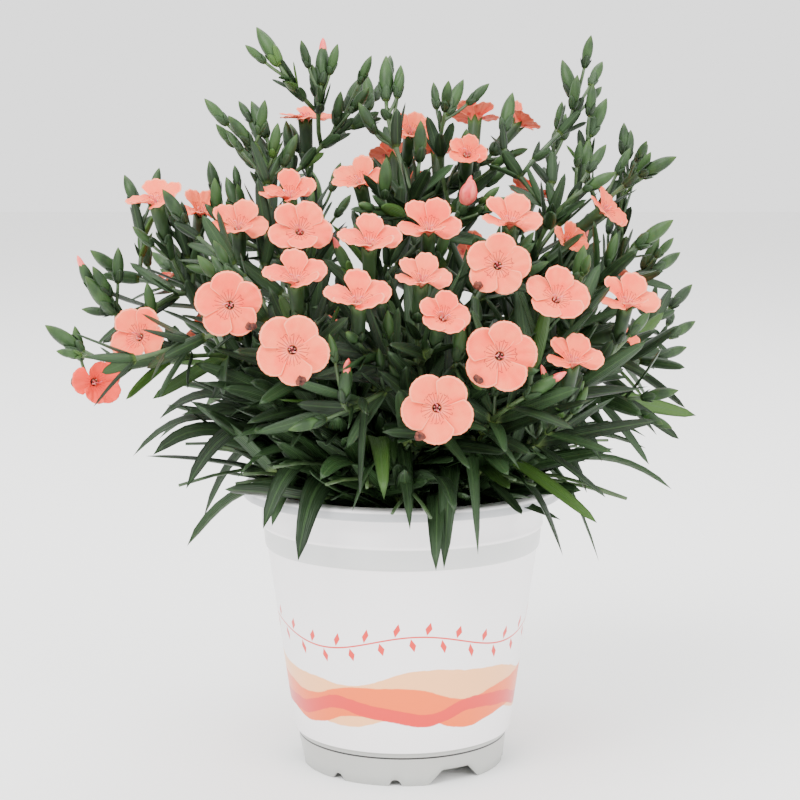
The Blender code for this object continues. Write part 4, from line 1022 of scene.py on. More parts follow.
# The tube under an open bloom: its mouth rises in five teeth, each a triangle wave of the angle.
def addCalyx(sheaf, slots, foot, look, tone, spin):
    stations = np.array(calyxForm["stations"])
    length, radius = calyxPlan["length"], calyxPlan["radius"] * calyxForm["girth"]
    line = foot + look * (stations[:, :1] * length)
    rings = roundRings(line, radius * stations[:, 1], calyxForm["columns"], squareTo(look))
    wave = np.abs((np.arange(calyxForm["columns"]) / calyxForm["columns"] * 5) % 1 - 0.5) * 2
    lift = calyxForm["teeth"] * wave[None, :] * np.clip(stations[:, :1] - 0.5, 0, 1) * 2
    outward = unitRows(rings - line[:, None]) * (lift * calyxForm["flare"])[..., None]
    rings = rings + look * lift[..., None] + outward
    mouth = foot + look * (length - calyxForm["mouth"])
    sheaf.tube(rings, slots["calyx"], end=mouth, along=stations[:, 0], tone=tone)
    bent, high = calyxForm["hug"]
    for out, share, half in scalesRound(calyxForm["scales"], look, spin):
        reach = length * share
        bend = foot + out * radius * bent + look * reach * calyxForm["bend"]
        curve = (foot + out * calyxForm["root"], bend, foot + out * radius * high + look * reach)
        addBlade(sheaf, slots["scale"], curve, np.cross(out, look), half, tone, rows=5, keel=0.9)


# Rows of vectors at length 1.
def unitRows(v):
    return v / np.maximum(np.linalg.norm(v, axis=-1, keepdims=True), 1e-9)


petalForm = {
    "claw": ((1.15, -3.2), (1.35, -1.8), (1.75, -0.75), (2.5, -0.1)),    # radius and height, up the claw
    "share": 0.95, "rows": 9, "columns": 31, "crowding": 0.85, "lobe": 0.27, "lobePower": 2.3,
    "teeth": ((29.0, 0.007), (47.0, 0.006)),      # how many radians of sine across a petal, and how deep
    "clawSpread": 0.66, "bladeSpread": 0.76,      # half of the angle that a petal takes, in radians
    "tilt": 0.14, "crease": 0.3, "creaseWidth": 0.16, "ripple": 0.24, "ripples": 4.2, "dish": 0.3,
    "reflex": 0.18,
    "thickness": 0.32, "thin": (1.15, 0.25),      # the thickness falls off from the middle to a least share
    "back": 2.1, "side": 0.3, "front": 1.7,       # cups of petals that point up, sideways and down
    "tones": (0.2, 0.7), "toneStray": 0.1, "turnStray": 0.04,
    "sizes": (0.97, 1.03), "cups": (0.9, 1.1), "droops": (-0.15, 0.25), "wobbles": (0, 6),
}


# One petal of an open bloom, on a grid of u from the claw to the margin and v across. Its rim is at
# R (1 - lobe |v|^power) with two sines as teeth. Its slope, atan(cup) at first, falls off to the margin,
# and radius and height are sums of its cosine and sine. It dips along the middle and rises on one side
# so that each petal lies over the next.
def petalGrid(size, cup, droop, wobble):
    v = np.linspace(-1, 1, petalForm["columns"])
    reach = 1 - petalForm["lobe"] * np.abs(v) ** petalForm["lobePower"]
    for count, depth in petalForm["teeth"]:
        reach = reach + depth * np.sin(count * v + wobble * count) * (1 - 0.4 * np.abs(v))
    claw = np.array(petalForm["claw"])
    u = np.linspace(0, 1, petalForm["rows"] + 1)[:, None] ** petalForm["crowding"]
    out = u * (size / 2 * reach - claw[-1, 0])
    slope = math.atan(cup) * (1 + petalForm["dish"] * (0.5 - u)) - (petalForm["reflex"] + droop) * u**3
    slope, step = (slope[1:] + slope[:-1]) / 2, np.diff(out, axis=0)
    radius = claw[-1, 0] + np.cumsum(np.cos(slope) * step, axis=0)
    height = claw[-1, 1] + np.cumsum(np.sin(slope) * step, axis=0)
    u, out = u[1:], out[1:]
    root = np.ones((1, len(v)))
    radius, height = (np.vstack([claw[:, k:k + 1] * root, part]) for k, part in enumerate((radius, height)))
    flat = np.vstack([claw[:, :1] * root, claw[-1, 0] + out]) / (size / 2)
    share = np.vstack([0 * claw[:, :1], u])
    low, high = petalForm["clawSpread"], petalForm["bladeSpread"]
    angle = (low + (high - low) * np.sin(share * np.pi / 2)) * v
    height = height + petalForm["tilt"] * np.sin(angle) * radius * np.clip(share * 4, 0, 1)
    fold = np.exp(-((v / petalForm["creaseWidth"]) ** 2))
    height = height - petalForm["crease"] * fold * np.sin(share * np.pi)
    height = height + petalForm["ripple"] * share**2 * np.sin(petalForm["ripples"] * v * np.pi + wobble)
    points = np.stack([radius * np.cos(angle), radius * np.sin(angle), height], -1)
    return points, flat, np.broadcast_to(v, flat.shape)


# The open bloom: five petals turned round its axis, each a plate between two faces.
def addBloom(sheaf, slots, bloom, chance):
    form = petalForm
    size, tone = bloom["size"] * form["share"], chance.uniform(*form["tones"]) + bloom.get("coral", 0.0)
    for k in range(5):
        turn = 2 * math.pi * k / 5 + bloom["spin"] + within(form["turnStray"], chance)
        towards = "back" if math.sin(turn) > 0 else "front"
        cup = form["side"] + (form[towards] - form["side"]) * abs(math.sin(turn)) ** 1.5
        cup = cup * bloom["cup"]
        reach, cup = size * chance.uniform(*form["sizes"]), cup * chance.uniform(*form["cups"])
        droop, wobble = chance.uniform(*form["droops"]), chance.uniform(*form["wobbles"])
        grid, radial, across = petalGrid(reach, cup, droop, wobble)
        rows, columns = grid.shape[:2]
        c, s = math.cos(turn), math.sin(turn)
        local = grid.reshape(-1, 3) @ np.array([[c, s, 0], [-s, c, 0], [0, 0, 1]])
        most, least = form["thin"]
        thick = form["thickness"] * np.clip(most - radial.ravel(), least, 1)
        lower = local - np.stack([0 * thick, 0 * thick, thick], -1)
        points = place(np.vstack([local, lower]), bloom["at"], bloom["look"])
        petalTone = tone + within(form["toneStray"], chance)
        side = np.repeat([1.0, 0.0], len(local))
        sheaf.add(points, plateSkin(rows, columns), slots["petal"], np.tile(radial.ravel(), 2),
                  np.tile(across.ravel(), 2), petalTone, side)
    addThroat(sheaf, slots, bloom, chance)


throatForm = {
    "plug": ((0.9, -3.3), (1.25, -3.1), (1.2, -2.6), (0.6, -2.45)),      # radius and height
    "root": -2.6, "styles": 2, "styleTurn": 1.3, "styleStray": 0.4, "styleEnds": (0.26, 0.14),
    "styleOut": (0.35, 1.7, 1.6), "styleRise": (4.4, 2.2), "sway": (5, 0.35),
    "anthers": 5, "antherTurn": 0.6, "antherOut": (0.7, 0.25), "antherRise": 2.2,
    "antherRadii": (0.1, 0.1, 0.12, 0.3, 0.16),
}


# What stands in the throat: a dark plug, two styles that rise by a sine, curl outwards by a power and sway
# by a sine, and short anthers round them.
def addThroat(sheaf, slots, bloom, chance):
    form, up, across = throatForm, vec(0, 0, 1), squareTo(bloom["look"])
    plug = np.array(form["plug"])
    line = place(plug[:, 1:] * up, bloom["at"], bloom["look"])
    sheaf.tube(roundRings(line, plug[:, 0], 12, across), slots["throat"])
    t = np.linspace(0, 1, 8)[:, None]
    (near, gain, power), (rise, bow), (waves, sway) = form["styleOut"], form["styleRise"], form["sway"]
    for k in range(form["styles"]):
        angle = bloom["spin"] + form["styleTurn"] + math.pi * k + within(form["styleStray"], chance)
        out = vec(math.cos(angle), math.sin(angle), 0)
        curl = out * (near + gain * t**power) + up * (form["root"] + rise * np.sin(t * bow))
        curl = curl + np.cross(out, up) * np.sin(t * waves) * sway
        line = place(curl, bloom["at"], bloom["look"])
        sheaf.tube(roundRings(line, np.linspace(*form["styleEnds"], 8), 6, across), slots["style"])
    t = np.linspace(0, 1, len(form["antherRadii"]))[:, None]
    near, gain = form["antherOut"]
    for k in range(form["anthers"]):
        angle = bloom["spin"] + 2 * math.pi * k / form["anthers"] + form["antherTurn"]
        out = vec(math.cos(angle), math.sin(angle), 0)
        local = out * (near + gain * t) + up * (form["root"] + form["antherRise"] * t)
        line = place(local, bloom["at"], bloom["look"])
        sheaf.tube(roundRings(line, np.array(form["antherRadii"]), 6, across), slots["anther"])


leafLook = {
    "deep": (15, 31, 12), "face": (33, 57, 26), "bloomed": (45, 67, 40), "young": (62, 94, 28),
    "root": (96, 118, 58), "rib": (60, 86, 48), "roughness": 0.36,
}


# Leaf: dark green with a waxy grey bloom, a paler rib along the middle, a pale root and lengthwise streaks.
def leafFinish(name, face, bloomed):
    paint = Paint(name, Specular_IOR_Level=0.3)
    along, across, tone = paint.fact("along"), paint.fact("across"), paint.fact("tone")
    patch = paint.noise(190.0, 3.0)
    colour = paint.mix(paint.step(tone + patch * 0.5, 0.35, 1.05), leafLook["deep"], face)
    colour = paint.mix(paint.step(paint.noise(60.0, 2.0), 0.42, 0.72) * 0.5, colour, bloomed)
    colour = paint.mix(paint.step(tone, 0.93, 0.99) * 0.8, colour, leafLook["young"])
    streak = paint.step(abs(paint.maths("SINE", across * 24.0)), 0.55, 1.0)
    colour = paint.mix(streak * 0.16, colour, leafLook["rib"])
    rib = 1 - paint.step(abs(across), 0.03, 0.16)
    colour = paint.mix(rib * 0.5, colour, leafLook["rib"])
    colour = paint.mix((1 - paint.step(along, 0.0, 0.10)) * 0.75, colour, leafLook["root"])
    paint.plug("Base Color", colour)
    paint.plug("Roughness", patch * 0.25 + leafLook["roughness"])
    paint.bump(paint.maths("SINE", across * 30.0) + patch * 1.5, 0.35, 0.0003)
    return paint.material


# Stems: smooth pale green with a grey bloom that rubs off in patches, some stems lighter than others.
def stemFinish():
    paint = Paint("stem green", 0.5)
    patch = paint.noise(240.0, 4.0)
    colour = paint.mix(paint.step(patch, 0.35, 0.65), (32, 50, 27), (56, 78, 46))
    paint.plug("Base Color", paint.mix(paint.fact("tone") * 0.35, colour, (78, 102, 48)))
    paint.bump(patch, 0.2, 0.0003)
    return paint.material


# Buds and calyces: grey green, yellower towards the tip and paler at the foot.
def budFinish(name, base, light):
    paint = Paint(name, 0.5, Specular_IOR_Level=0.3)
    along, tone = paint.fact("along"), paint.fact("tone")
    patch = paint.noise(260.0, 4.0, paint.where((1, 1, 0.35)))
    colour = paint.mix(paint.step(patch + tone * 0.3, 0.4, 0.85), base, light)
    colour = paint.mix(paint.step(along, 0.75, 1.0) * 0.5, colour, (66, 92, 34))
    colour = paint.mix((1 - paint.step(along, 0.0, 0.2)) * 0.4, colour, (72, 98, 46))
    paint.plug("Base Color", colour)
    paint.bump(patch, 0.3, 0.0003)
    return paint.material


# Rolled petals at the tip of a bud.
def petalTipFinish():
    paint = Paint("petal tip", 0.45)
    twist = paint.noise(420.0, 2.0, paint.where((1, 1, 0.3)))
    fold = paint.step(twist, 0.35, 0.7)
    paint.plug("Base Color", paint.mix(fold, (226, 62, 66), (250, 122, 108)))
    paint.bump(twist, 0.4, 0.0004)
    return paint.material


petalLook = {
    "rose": (248, 60, 24), "pale": (253, 106, 62), "rim": (254, 156, 118), "throat": (252, 160, 128),
    "line": (150, 6, 16), "dark": (56, 8, 12), "under": (244, 84, 58), "underPale": (250, 118, 88),
    "patch": (222, 26, 22), "coral": (240, 32, 24), "lineStep": 0.44, "halfAngle": 0.77, "ring": 0.43,
}


# Petals: salmon with a pale rim and throat, and near black painted shade at the claws. Fine red lines run out
# from the throat, at even steps across each petal, to a broken ring; the under side is a deeper coral, with a
# red patch of painted shade near the claw.
def petalFinish():
    paint = Paint("petal", 0.68)
    radius, across, tone, side = (paint.fact(label) for label in ("along", "across", "tone", "side"))
    look = petalLook
    cloud = paint.noise(170.0, 3.0)
    grain = paint.maths("SINE", across * 95.0 + cloud * 9.0)
    rose = paint.mix(paint.step(cloud + tone * 0.4, 0.35, 0.95), look["rose"], look["pale"])
    streaks = paint.step(grain, 0.2, 1.0) * paint.step(radius, 0.4, 0.6) * 0.2
    rose = paint.mix(streaks, rose, look["rim"])
    throat = 1 - paint.step(radius + (cloud - 0.5) * 0.22 + abs(across) * 0.06, 0.14, 0.36)
    rose = paint.mix(throat * 0.45, rose, look["throat"])
    rim = radius + abs(across) ** petalForm["lobePower"] * petalForm["lobe"]
    margin = paint.maths("MAXIMUM", paint.step(rim, 0.925, 0.965), paint.step(abs(across), 0.92, 0.97))
    rose = paint.mix(margin * 0.6, rose, look["rim"])
    # distance to the nearest line, as a share of the bloom's radius
    toLine = paint.maths("PINGPONG", abs(across), look["lineStep"] / 2) * radius * look["halfAngle"]
    breaks = paint.noise(900.0, 2.0)
    ends = 0.49 - abs(across) * 0.12 + (breaks - 0.5) * 0.16
    lines = (1 - paint.step(toLine, 0.006, 0.02)) * paint.step(radius, 0.15, 0.2)
    lines = lines * paint.step(ends - radius, 0.0, 0.05)
    arch = look["ring"] + paint.maths("COSINE", across * (2 * math.pi / look["lineStep"])) * 0.022
    ring = (1 - paint.step(abs(radius - arch), 0.007, 0.02)) * paint.step(breaks, 0.42, 0.56)
    ring = ring * (1 - paint.step(abs(across), 0.66, 0.8))
    marks = paint.maths("MAXIMUM", lines * 0.85, ring * 0.95)
    rose = paint.mix(marks * 0.9, rose, look["line"])
    rose = paint.mix(paint.step(tone, 1.0, 1.5) * 0.75, rose, look["coral"])
    # painted shade: near black at the claws, deep in the throat
    rose = paint.mix(1 - paint.step(radius, 0.09, 0.15), rose, look["dark"])
    faded = paint.step(cloud + radius * 0.5, 0.45, 1.0)
    under = paint.mix(faded, look["under"], look["underPale"])
    under = paint.mix(margin * 0.7, under, look["rim"])
    # painted shade: a red patch on the under side, part way out from the claw
    shadePatch = paint.maths("MAXIMUM", 1 - abs(radius - 0.36) / 0.14 - abs(across + 0.2) / 0.8, 0.0)
    under = paint.mix(paint.step(shadePatch, 0.1, 0.6) * 0.8, under, look["patch"])
    under = paint.mix((1 - paint.step(radius, 0.15, 0.26)) * 0.7, under, look["throat"])
    paint.plug("Base Color", paint.mix(paint.step(side, 0.4, 0.6), under, rose))
    paint.bump(grain + cloud * 2.0, 0.25, 0.0003)
    return paint.material


# A plain waxy colour with a little cloud in it, for the throat, the styles and the anthers.
def softFinish(name, low, high):
    paint = Paint(name)
    cloud = paint.noise(500.0)
    paint.plug("Base Color", paint.mix(paint.step(cloud, 0.35, 0.65), low, high))
    paint.bump(cloud, 0.3, 0.0004)
    return paint.material


potLook = {
    # sleeve is the printed white; plastic is the unprinted foot, its grey deepened as painted shade; step and
    # lip are painted shade: grey bands on the collar below the rim and on the lip's underside and lower half
    "sleeve": (243, 240, 241), "plastic": (166, 167, 163), "step": (200, 201, 200), "lip": (170, 172, 175),
    "inside": (16, 16, 17), "insidePale": (38, 37, 37),
    "peach": (253, 178, 110), "orange": (242, 96, 4), "coral": (218, 34, 24),
    # heights in mm at which a part's colour begins and is full, and where it begins to end and is gone
    "sleeveFoot": (13.05, 13.35), "stepRange": (82.6, 82.9, 90.2, 90.9),
    "lipRange": (101.6, 102.3, 104.6, 105.4),
    # bands: colour, height, half width, cover, and two waves of a count, a start and a size
    "bands": (("peach", 34.0, 8.5, 0.95, (3, 0.4, 3.4), (7, 1.0, 0.9)),
              ("orange", 30.5, 6.12, 1.0, (4, 2.2, 2.8), (9, 0.0, 0.7)),
              ("coral", 28.5, 3.06, 1.0, (5, 4.1, 2.4), (11, 2.0, 0.6))),
    "garland": 55.0, "garlandWave": (4, 1.1, 3.0), "leaves": 26,
}


# White moulded plastic in a printed sleeve: a band of three overlapping waves, each a sum of sines of the
# angle, under a garland of pointed leaves along one more wave. Grey bands on the collar and the lip are
# painted shade, and the grey of the unprinted foot is deepened by painted shade.
def potFinish():
    paint = Paint("white plastic", 0.3, Coat_Weight=0.15)
    look = potLook
    spot = paint.node("ShaderNodeTexCoord", output=3)
    x, y, z = (paint.node("ShaderNodeSeparateXYZ", None, {0: spot}, k) for k in range(3))
    angle, height = paint.maths("ARCTAN2", x, y * -1.0), z * 1000.0
    speck = paint.noise(700.0, 2.0)

    def wave(count, start, size):
        return paint.maths("SINE", angle * float(count) + start) * size

    def band(middle, half):
        edge = paint.noise(160.0, 4.0) * 1.6
        return 1 - paint.step(abs(height - middle) + edge, half, half + 0.5)

    # the unprinted foot below the sleeve: a plastic grey, darkened further as painted shade
    sleeve = paint.step(height, *look["sleeveFoot"])
    colour = paint.mix(sleeve, look["plastic"], look["sleeve"])
    # painted shade: a grey band on the collar below the rim, and a darker one on the lip's underside and
    # lower half
    for part in ("step", "lip"):
        low, lowFull, highFull, high = look[part + "Range"]
        cover = paint.step(height, low, lowFull) * (1 - paint.step(height, highFull, high))
        colour = paint.mix(cover, colour, look[part])
    for name, middle, half, cover, *waves in look["bands"]:
        printed = band(wave(*waves[0]) + middle + wave(*waves[1]), half)
        colour = paint.mix(printed * cover, colour, look[name])
    # garland: a thin line, and leaves that alternate above and below it
    rise = height - look["garland"] - wave(*look["garlandWave"])
    line = 1 - paint.step(abs(rise), 0.22, 0.4)
    turn = angle * (look["leaves"] / math.pi)
    shift = paint.maths("FRACT", turn) - 0.5
    above = paint.step(paint.maths("FRACT", turn * 0.5), 0.49, 0.51) * 2.0 - 1.0
    lens = abs(shift - rise * above * 0.045) * 4.4 + abs(rise * above - 3.1) / 2.6
    leaves = 1 - paint.step(lens ** 1.15, 0.9, 1.05)
    colour = paint.mix(paint.maths("MAXIMUM", line, leaves), colour, look["coral"])
    paint.plug("Base Color", colour)
    paint.plug("Roughness", speck * 0.12 + 0.26)
    paint.bump(speck, 0.05, 0.0002)
    return paint.material


def insideFinish():
    paint = Paint("black inside", 0.42)
    speck = paint.noise(500.0, 3.0)
    paint.plug("Base Color", paint.mix(speck, potLook["inside"], potLook["insidePale"]))
    paint.bump(speck, 0.1, 0.0002)
    return paint.material


# Compost: peat from near black to brown, with pale fibres.
def compostFinish():
    paint = Paint("compost", 0.95)
    clod, fibre = paint.noise(260.0, 6.0), paint.noise(900.0, 3.0, paint.where((1, 0.2, 1)))
    colour = paint.mix(paint.step(clod, 0.35, 0.7), (22, 15, 11), (66, 48, 35))
    colour = paint.mix(paint.step(fibre, 0.68, 0.76) * 0.5, colour, (126, 98, 70))
    paint.plug("Base Color", colour)
    paint.bump(clod + fibre * 0.5, 0.9, 0.0012)
    return paint.material


def witheredFinish():
    paint = Paint("withered", 0.8)
    streak = paint.noise(700.0, 4.0, paint.where((1, 1, 0.4)))
    paint.plug("Base Color", paint.mix(paint.step(streak, 0.35, 0.65), (58, 20, 14), (112, 50, 32)))
    paint.bump(streak, 0.6, 0.0005)
    return paint.material


finishes = [
    stemFinish(), leafFinish("leaf green", leafLook["face"], leafLook["bloomed"]),
    # the calyx greens are darker than the bud's: a darker green, deepened further as painted shade
    budFinish("bud green", (26, 47, 20), (49, 76, 36)), budFinish("calyx green", (24, 42, 20), (43, 65, 33)),
    leafFinish("scale green", (40, 62, 35), (60, 80, 52)), petalTipFinish(),
]
greenSlots = {"stem": 0, "leaf": 1, "bud": 2, "calyx": 3, "scale": 4, "petalTip": 5}
bloomFinishes = [
    petalFinish(), softFinish("throat", (70, 18, 22), (120, 36, 40)),
    softFinish("style", (206, 74, 92), (236, 130, 130)), softFinish("anther", (150, 98, 84), (206, 160, 140)),
    witheredFinish(),
]
bloomSlots = {"petal": 0, "throat": 1, "style": 2, "anther": 3, "withered": 4}
print("finishes made")


# The frame's pot and compost, in millimetres, as the plan needs them.
def frameMesh(node):
    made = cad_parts[node]
    data = made.data
    data.calc_loop_triangles()
    points = np.empty(len(data.vertices) * 3, np.float32)
    data.vertices.foreach_get("co", points)
    turn = np.array(made.matrix_world)
    points = points.reshape(-1, 3).astype(float) @ turn[:3, :3].T + turn[:3, 3]
    return points / mm, [tuple(t.vertices) for t in data.loop_triangles]


# The plan of the plant, the same as the part's.
rng = random.Random(seed)
shoots = planShoots()
thicket = Thicket()
for node in ("pot", "soil"):
    thicket.put(node, frameMesh(node), node)
heads = planHeads(rng)
blooms = [head for head in heads if head["kind"] == "bloom"]
placeBlooms(blooms, thicket)
stemCount = planStems(heads, shoots, thicket, rng)
planHangingLeaves(shoots, thicket, rng)
leafCount = planStemLeaves(shoots, thicket, rng)
lowCount = planLowLeaves(shoots, thicket, rng)
hangingCount = sum(len(shoot["grown"]) for shoot in shoots) - lowCount
print(stemCount, "stems,", hangingCount, "hanging leaves,", lowCount, "low leaves,", leafCount, "stem leaves")

eye = vec(*view["eye"])
bloomAt = np.array([bloom["at"] for bloom in blooms])
bloomLook = np.array([bloom["look"] for bloom in blooms])
bloomReach = np.array([bloom["size"] / 2 for bloom in blooms])
bloomCup = np.array([bloom["cup"] for bloom in blooms])
bloomRoom = {"depth": 2.5, "margin": 0.8, "sight": (1.0, 1.4), "seen": 0.95}


# Whether points keep out of every bloom and don't hide one of the front blooms from the viewer.
def sparesBlooms(points, margin=bloomRoom["margin"]):
    points = np.atleast_2d(points)
    gap = points[:, None] - bloomAt
    height = (gap * bloomLook).sum(-1)
    radial = np.linalg.norm(gap - height[..., None] * bloomLook, axis=-1)
    depth, (near, far) = bloomRoom["depth"], bloomRoom["sight"]
    inside = (height > -depth) & (height < depth + bloomCup * bloomReach) & (radial < bloomReach + margin)
    ray = points - eye
    share = ((bloomAt - eye) * bloomLook).sum(-1) / (ray @ bloomLook.T)
    hit = np.linalg.norm(eye + share[..., None] * ray[:, None] - bloomAt, axis=-1)
    hides = (share > near) & (share < far) & (hit < bloomReach * bloomRoom["seen"])
    hides[:, len(frontBlooms):] = False
    return not (inside | hides).any()


# Points along a leaf's curve, to test.
def along(curve):
    return bezier(curve, (0.3, 0.5, 0.7, 0.85, 1.0))


extra = {
    "pairSpacing": 10.5, "pairSize": (0.62, 1.0), "keepOff": 3.5, "pairTurn": 0.3, "pairTwist": 0.5,
    "shrink": 0.3, "widen": (0.85, 0.45), "leafOver": 4, "lean": (140.0, 200.0, 0.45),
    "leastStem": 22, "budChance": 0.75, "budShares": (0.70, 0.82, 0.92), "budLength": (9.5, 13.5),
    "budStalk": (7.0, 15.0), "budLean": (0.35, 0.75), "budLift": 0.25, "budOut": 1.5, "budOver": 6,
    "budMargin": 2.5,
}
chance = random.Random(7)


# Draws a leaf in towards its stem's direction, the more the higher it grows.
def drawnIn(curve, way):
    low, high, least = extra["lean"]
    share = min(1.0, max(0.0, (curve[0][2] - low) / (high - low)))
    keep = 1 + (least - 1) * share
    gaps = [point - curve[0] for point in curve]
    return tuple(curve[0] + way * (gap @ way) + (gap - way * (gap @ way)) * keep for gap in gaps)


# The point of a stem at this share of it, its direction there, and two directions square to it.
def stationOn(stem, share):
    return middleFrame(stemLine(stem, (share - 0.01, share, share + 0.01)), stem["across"])


# More leaf pairs along a stem, between its planned joints, each pair a quarter turn on from the last.
def addFillers(sheaf, stem):
    reach = np.linalg.norm(headFoot(stem["head"]) - stem["start"])
    count, widest = int(reach / extra["pairSpacing"]), clear["crownReach"] + extra["leafOver"]
    for k in range(count):
        share = (k + 0.6) / (count + 0.3)
        if min(abs(share - joint) for joint in stem["joints"]) * reach < extra["keepOff"]:
            continue
        at, way, u, v = stationOn(stem, share)
        turn = math.pi / 4 + math.pi / 2 * k + within(extra["pairTurn"], chance)
        for angle in (turn, turn + math.pi):
            out = u * math.cos(angle) + v * math.sin(angle)
            leaf = stemLeaf(at, out, way, chance)
            size = chance.uniform(*extra["pairSize"]) * (1 - extra["shrink"] * share)
            curve = drawnIn(tuple(at + (point - at) * size for point in leaf["curve"]), way)
            tone, (least, gain) = chance.random(), extra["widen"]
            if sparesBlooms(along(curve)) and abs(curve[2][:2]).max() < widest:
                half, twist = leaf["halfWidth"] * (least + gain * size), within(extra["pairTwist"], chance)
                addBlade(sheaf, greenSlots["leaf"], curve, leaf["across"], half, tone, twist)


sideStalk = {"radii": (0.68, 0.6), "kick": 0.2, "reach": 0.4, "rows": 8, "columns": 7}


# A side bud on a stalk that leaves a stem at a point: its curve goes out and then along the bud.
def addSideBud(sheaf, root, foot, look, length, tip=False):
    tone, spin = chance.random(), chance.uniform(0, math.pi)
    reach, bend = np.linalg.norm(foot - root), sideStalk["reach"]
    first = unit(foot - root + look * reach * sideStalk["kick"])
    t = np.linspace(0, 1, sideStalk["rows"])
    line = bezier((root, root + first * reach * bend, foot - look * reach * bend, foot), t)
    radii = np.linspace(*sideStalk["radii"], sideStalk["rows"])
    sheaf.tube(roundRings(line, radii, sideStalk["columns"], slanted), greenSlots["stem"], tone=tone)
    addBud(sheaf, greenSlots, foot, look, length, budRadius(length), tone, spin, tip)


# Buds on short stalks near the end of a stem, some of them left out.
def addSideBuds(sheaf, stem):
    reach = np.linalg.norm(headFoot(stem["head"]) - stem["start"])
    if reach < extra["leastStem"]:
        return
    for share in extra["budShares"]:
        if chance.random() > extra["budChance"]:
            continue
        at, way, u, v = stationOn(stem, share)
        turn = chance.uniform(0, 2 * math.pi)
        out = u * math.cos(turn) + v * math.sin(turn)
        look = unit(way + out * chance.uniform(*extra["budLean"]) + vec(0, 0, extra["budLift"]))
        length = chance.uniform(*extra["budLength"])
        foot = at + look * chance.uniform(*extra["budStalk"]) + out * extra["budOut"]
        test = np.array([foot + look * length * s for s in (0.0, 0.5, 1.0)])
        widest = clear["crownReach"] + extra["budOver"]
        if sparesBlooms(test, extra["budMargin"]) and abs(test[:, :2]).max() < widest:
            addSideBud(sheaf, at, foot, look, length)


sheaves = {shoot["node"]: Sheaf() for shoot in shoots}
# The front buds and hero buds that show coral petals at the tip, by their place in the front view.
coralTips = (
    (322, 64), (466, 200), (460, 342), (543, 386), (345, 384), (87, 276), (343, 258), (347, 378), (547, 383),
    (580, 245), (465, 198),
)
for head, row in zip(heads[len(blooms):], frontBuds):
    head["tip"] = row[:2] in coralTips
# height over the compost, and radius as a share of the planned one
stubForm = ((-4.0, 1.0), (-1.0, 1.0), (1.0, 1.04), (3.4, 0.96), (5.4, 0.72), (6.4, 0.45))
# times the planned half width, largest twist, rows
leafForm = {"long": (1.5, 1.2, 12), "short": (1.35, 0.6, None)}
for shoot in shoots:
    sheaf = sheaves[shoot["node"]]
    line = np.array([shoot["foot"] + vec(0, 0, potSize["soilTop"] + rise) for rise, _ in stubForm])
    stubRadii = np.array([share for _, share in stubForm]) * shootPlan["radius"]
    sheaf.tube(roundRings(line, stubRadii, 12, vec(1, 0, 0)), greenSlots["stem"], tone=0.3)
    leaves = list(shoot["grown"].values())
    for stem in shoot["stems"]:
        addStem(sheaf, greenSlots["stem"], stem, chance.random())
        head, foot = stem["head"], headFoot(stem["head"])
        way = unit(foot - stem["start"])
        grown = [child for child in stem["grown"].values() if child["kind"] == "leaf"]
        leaves += [dict(leaf, curve=drawnIn(leaf["curve"], way)) for leaf in grown]
        spin, tone = chance.uniform(0, math.pi), chance.random()
        if head["kind"] == "bloom":
            addCalyx(sheaf, greenSlots, foot, head["look"], tone, spin)
        else:
            length, tip = head["size"], head.get("tip", False)
            addBud(sheaf, greenSlots, foot, head["look"], length, budRadius(length), tone, spin, tip)
        addFillers(sheaf, stem)
        addSideBuds(sheaf, stem)
    for leaf in leaves:
        widen, twist, rows = leafForm["long" if len(leaf["stations"]) > 3 else "short"]
        addBlade(sheaf, greenSlots["leaf"], leaf["curve"], leaf["across"], leaf["halfWidth"] * widen,
                 chance.random(), within(twist, chance), rows)


# Buds that catch the eye: place in the front view, and length.
heroBuds = (
    (314, 80, 12), (338, 108, 13), (367, 118, 13), (462, 105, 13), (475, 125, 12), (575, 92, 13),
    (651, 253, 14), (78, 343, 13), (118, 265, 13), (262, 117, 13), (275, 140, 13), (290, 150, 13),
    (396, 377, 10), (580, 400, 11), (600, 412, 11), (268, 405, 11), (415, 452, 9), (432, 453, 9),
    (484, 452, 9), (555, 515, 10), (165, 427, 11), (195, 405, 12), (87, 276, 13), (343, 258, 13),
    (347, 378, 11), (547, 383, 11), (580, 245, 12), (465, 198, 14), (380, 362, 10), (520, 412, 10),
    (150, 300, 13), (612, 250, 13), (560, 290, 11), (335, 300, 11), (222, 255, 12), (640, 300, 12),
    (300, 440, 9), (505, 428, 10), (640, 380, 12), (120, 320, 13), (170, 350, 12), (455, 400, 9),
)
heroPlan = {
    "shares": (0.25, 0.98, 16), "before": 2.0, "rise": (4, 34), "slant": (0.8, 3), "depthCost": 0.15,
    "lift": (0, -0.15, 0.55),
}


# Puts each of them on the stem that passes nearest below it.
def addHeroBuds():
    (least, most), (slant, spare) = heroPlan["rise"], heroPlan["slant"]
    for across, down, length in heroBuds:
        best = None
        for shoot in shoots:
            for stem in shoot["stems"]:
                for root in stemLine(stem, np.linspace(*heroPlan["shares"])):
                    middle = seenAt(across, down, root[1] - heroPlan["before"])
                    gap = middle - root
                    if least + length / 2 < gap[2] < most and abs(gap[0]) < gap[2] * slant + spare:
                        cost = np.linalg.norm(gap) + heroPlan["depthCost"] * root[1]
                        look = unit(unit(gap) + vec(*heroPlan["lift"]))
                        foot = middle - look * length / 2
                        spots = foot + look * length * np.array([[0.0], [0.5], [1.0]])
                        if (best is None or cost < best[0]) and sparesBlooms(spots):
                            best = cost, shoot["node"], root, foot, look
        if best:
            addSideBud(sheaves[best[1]], *best[2:], length, (across, down) in coralTips)


addHeroBuds()
print("stems dressed")


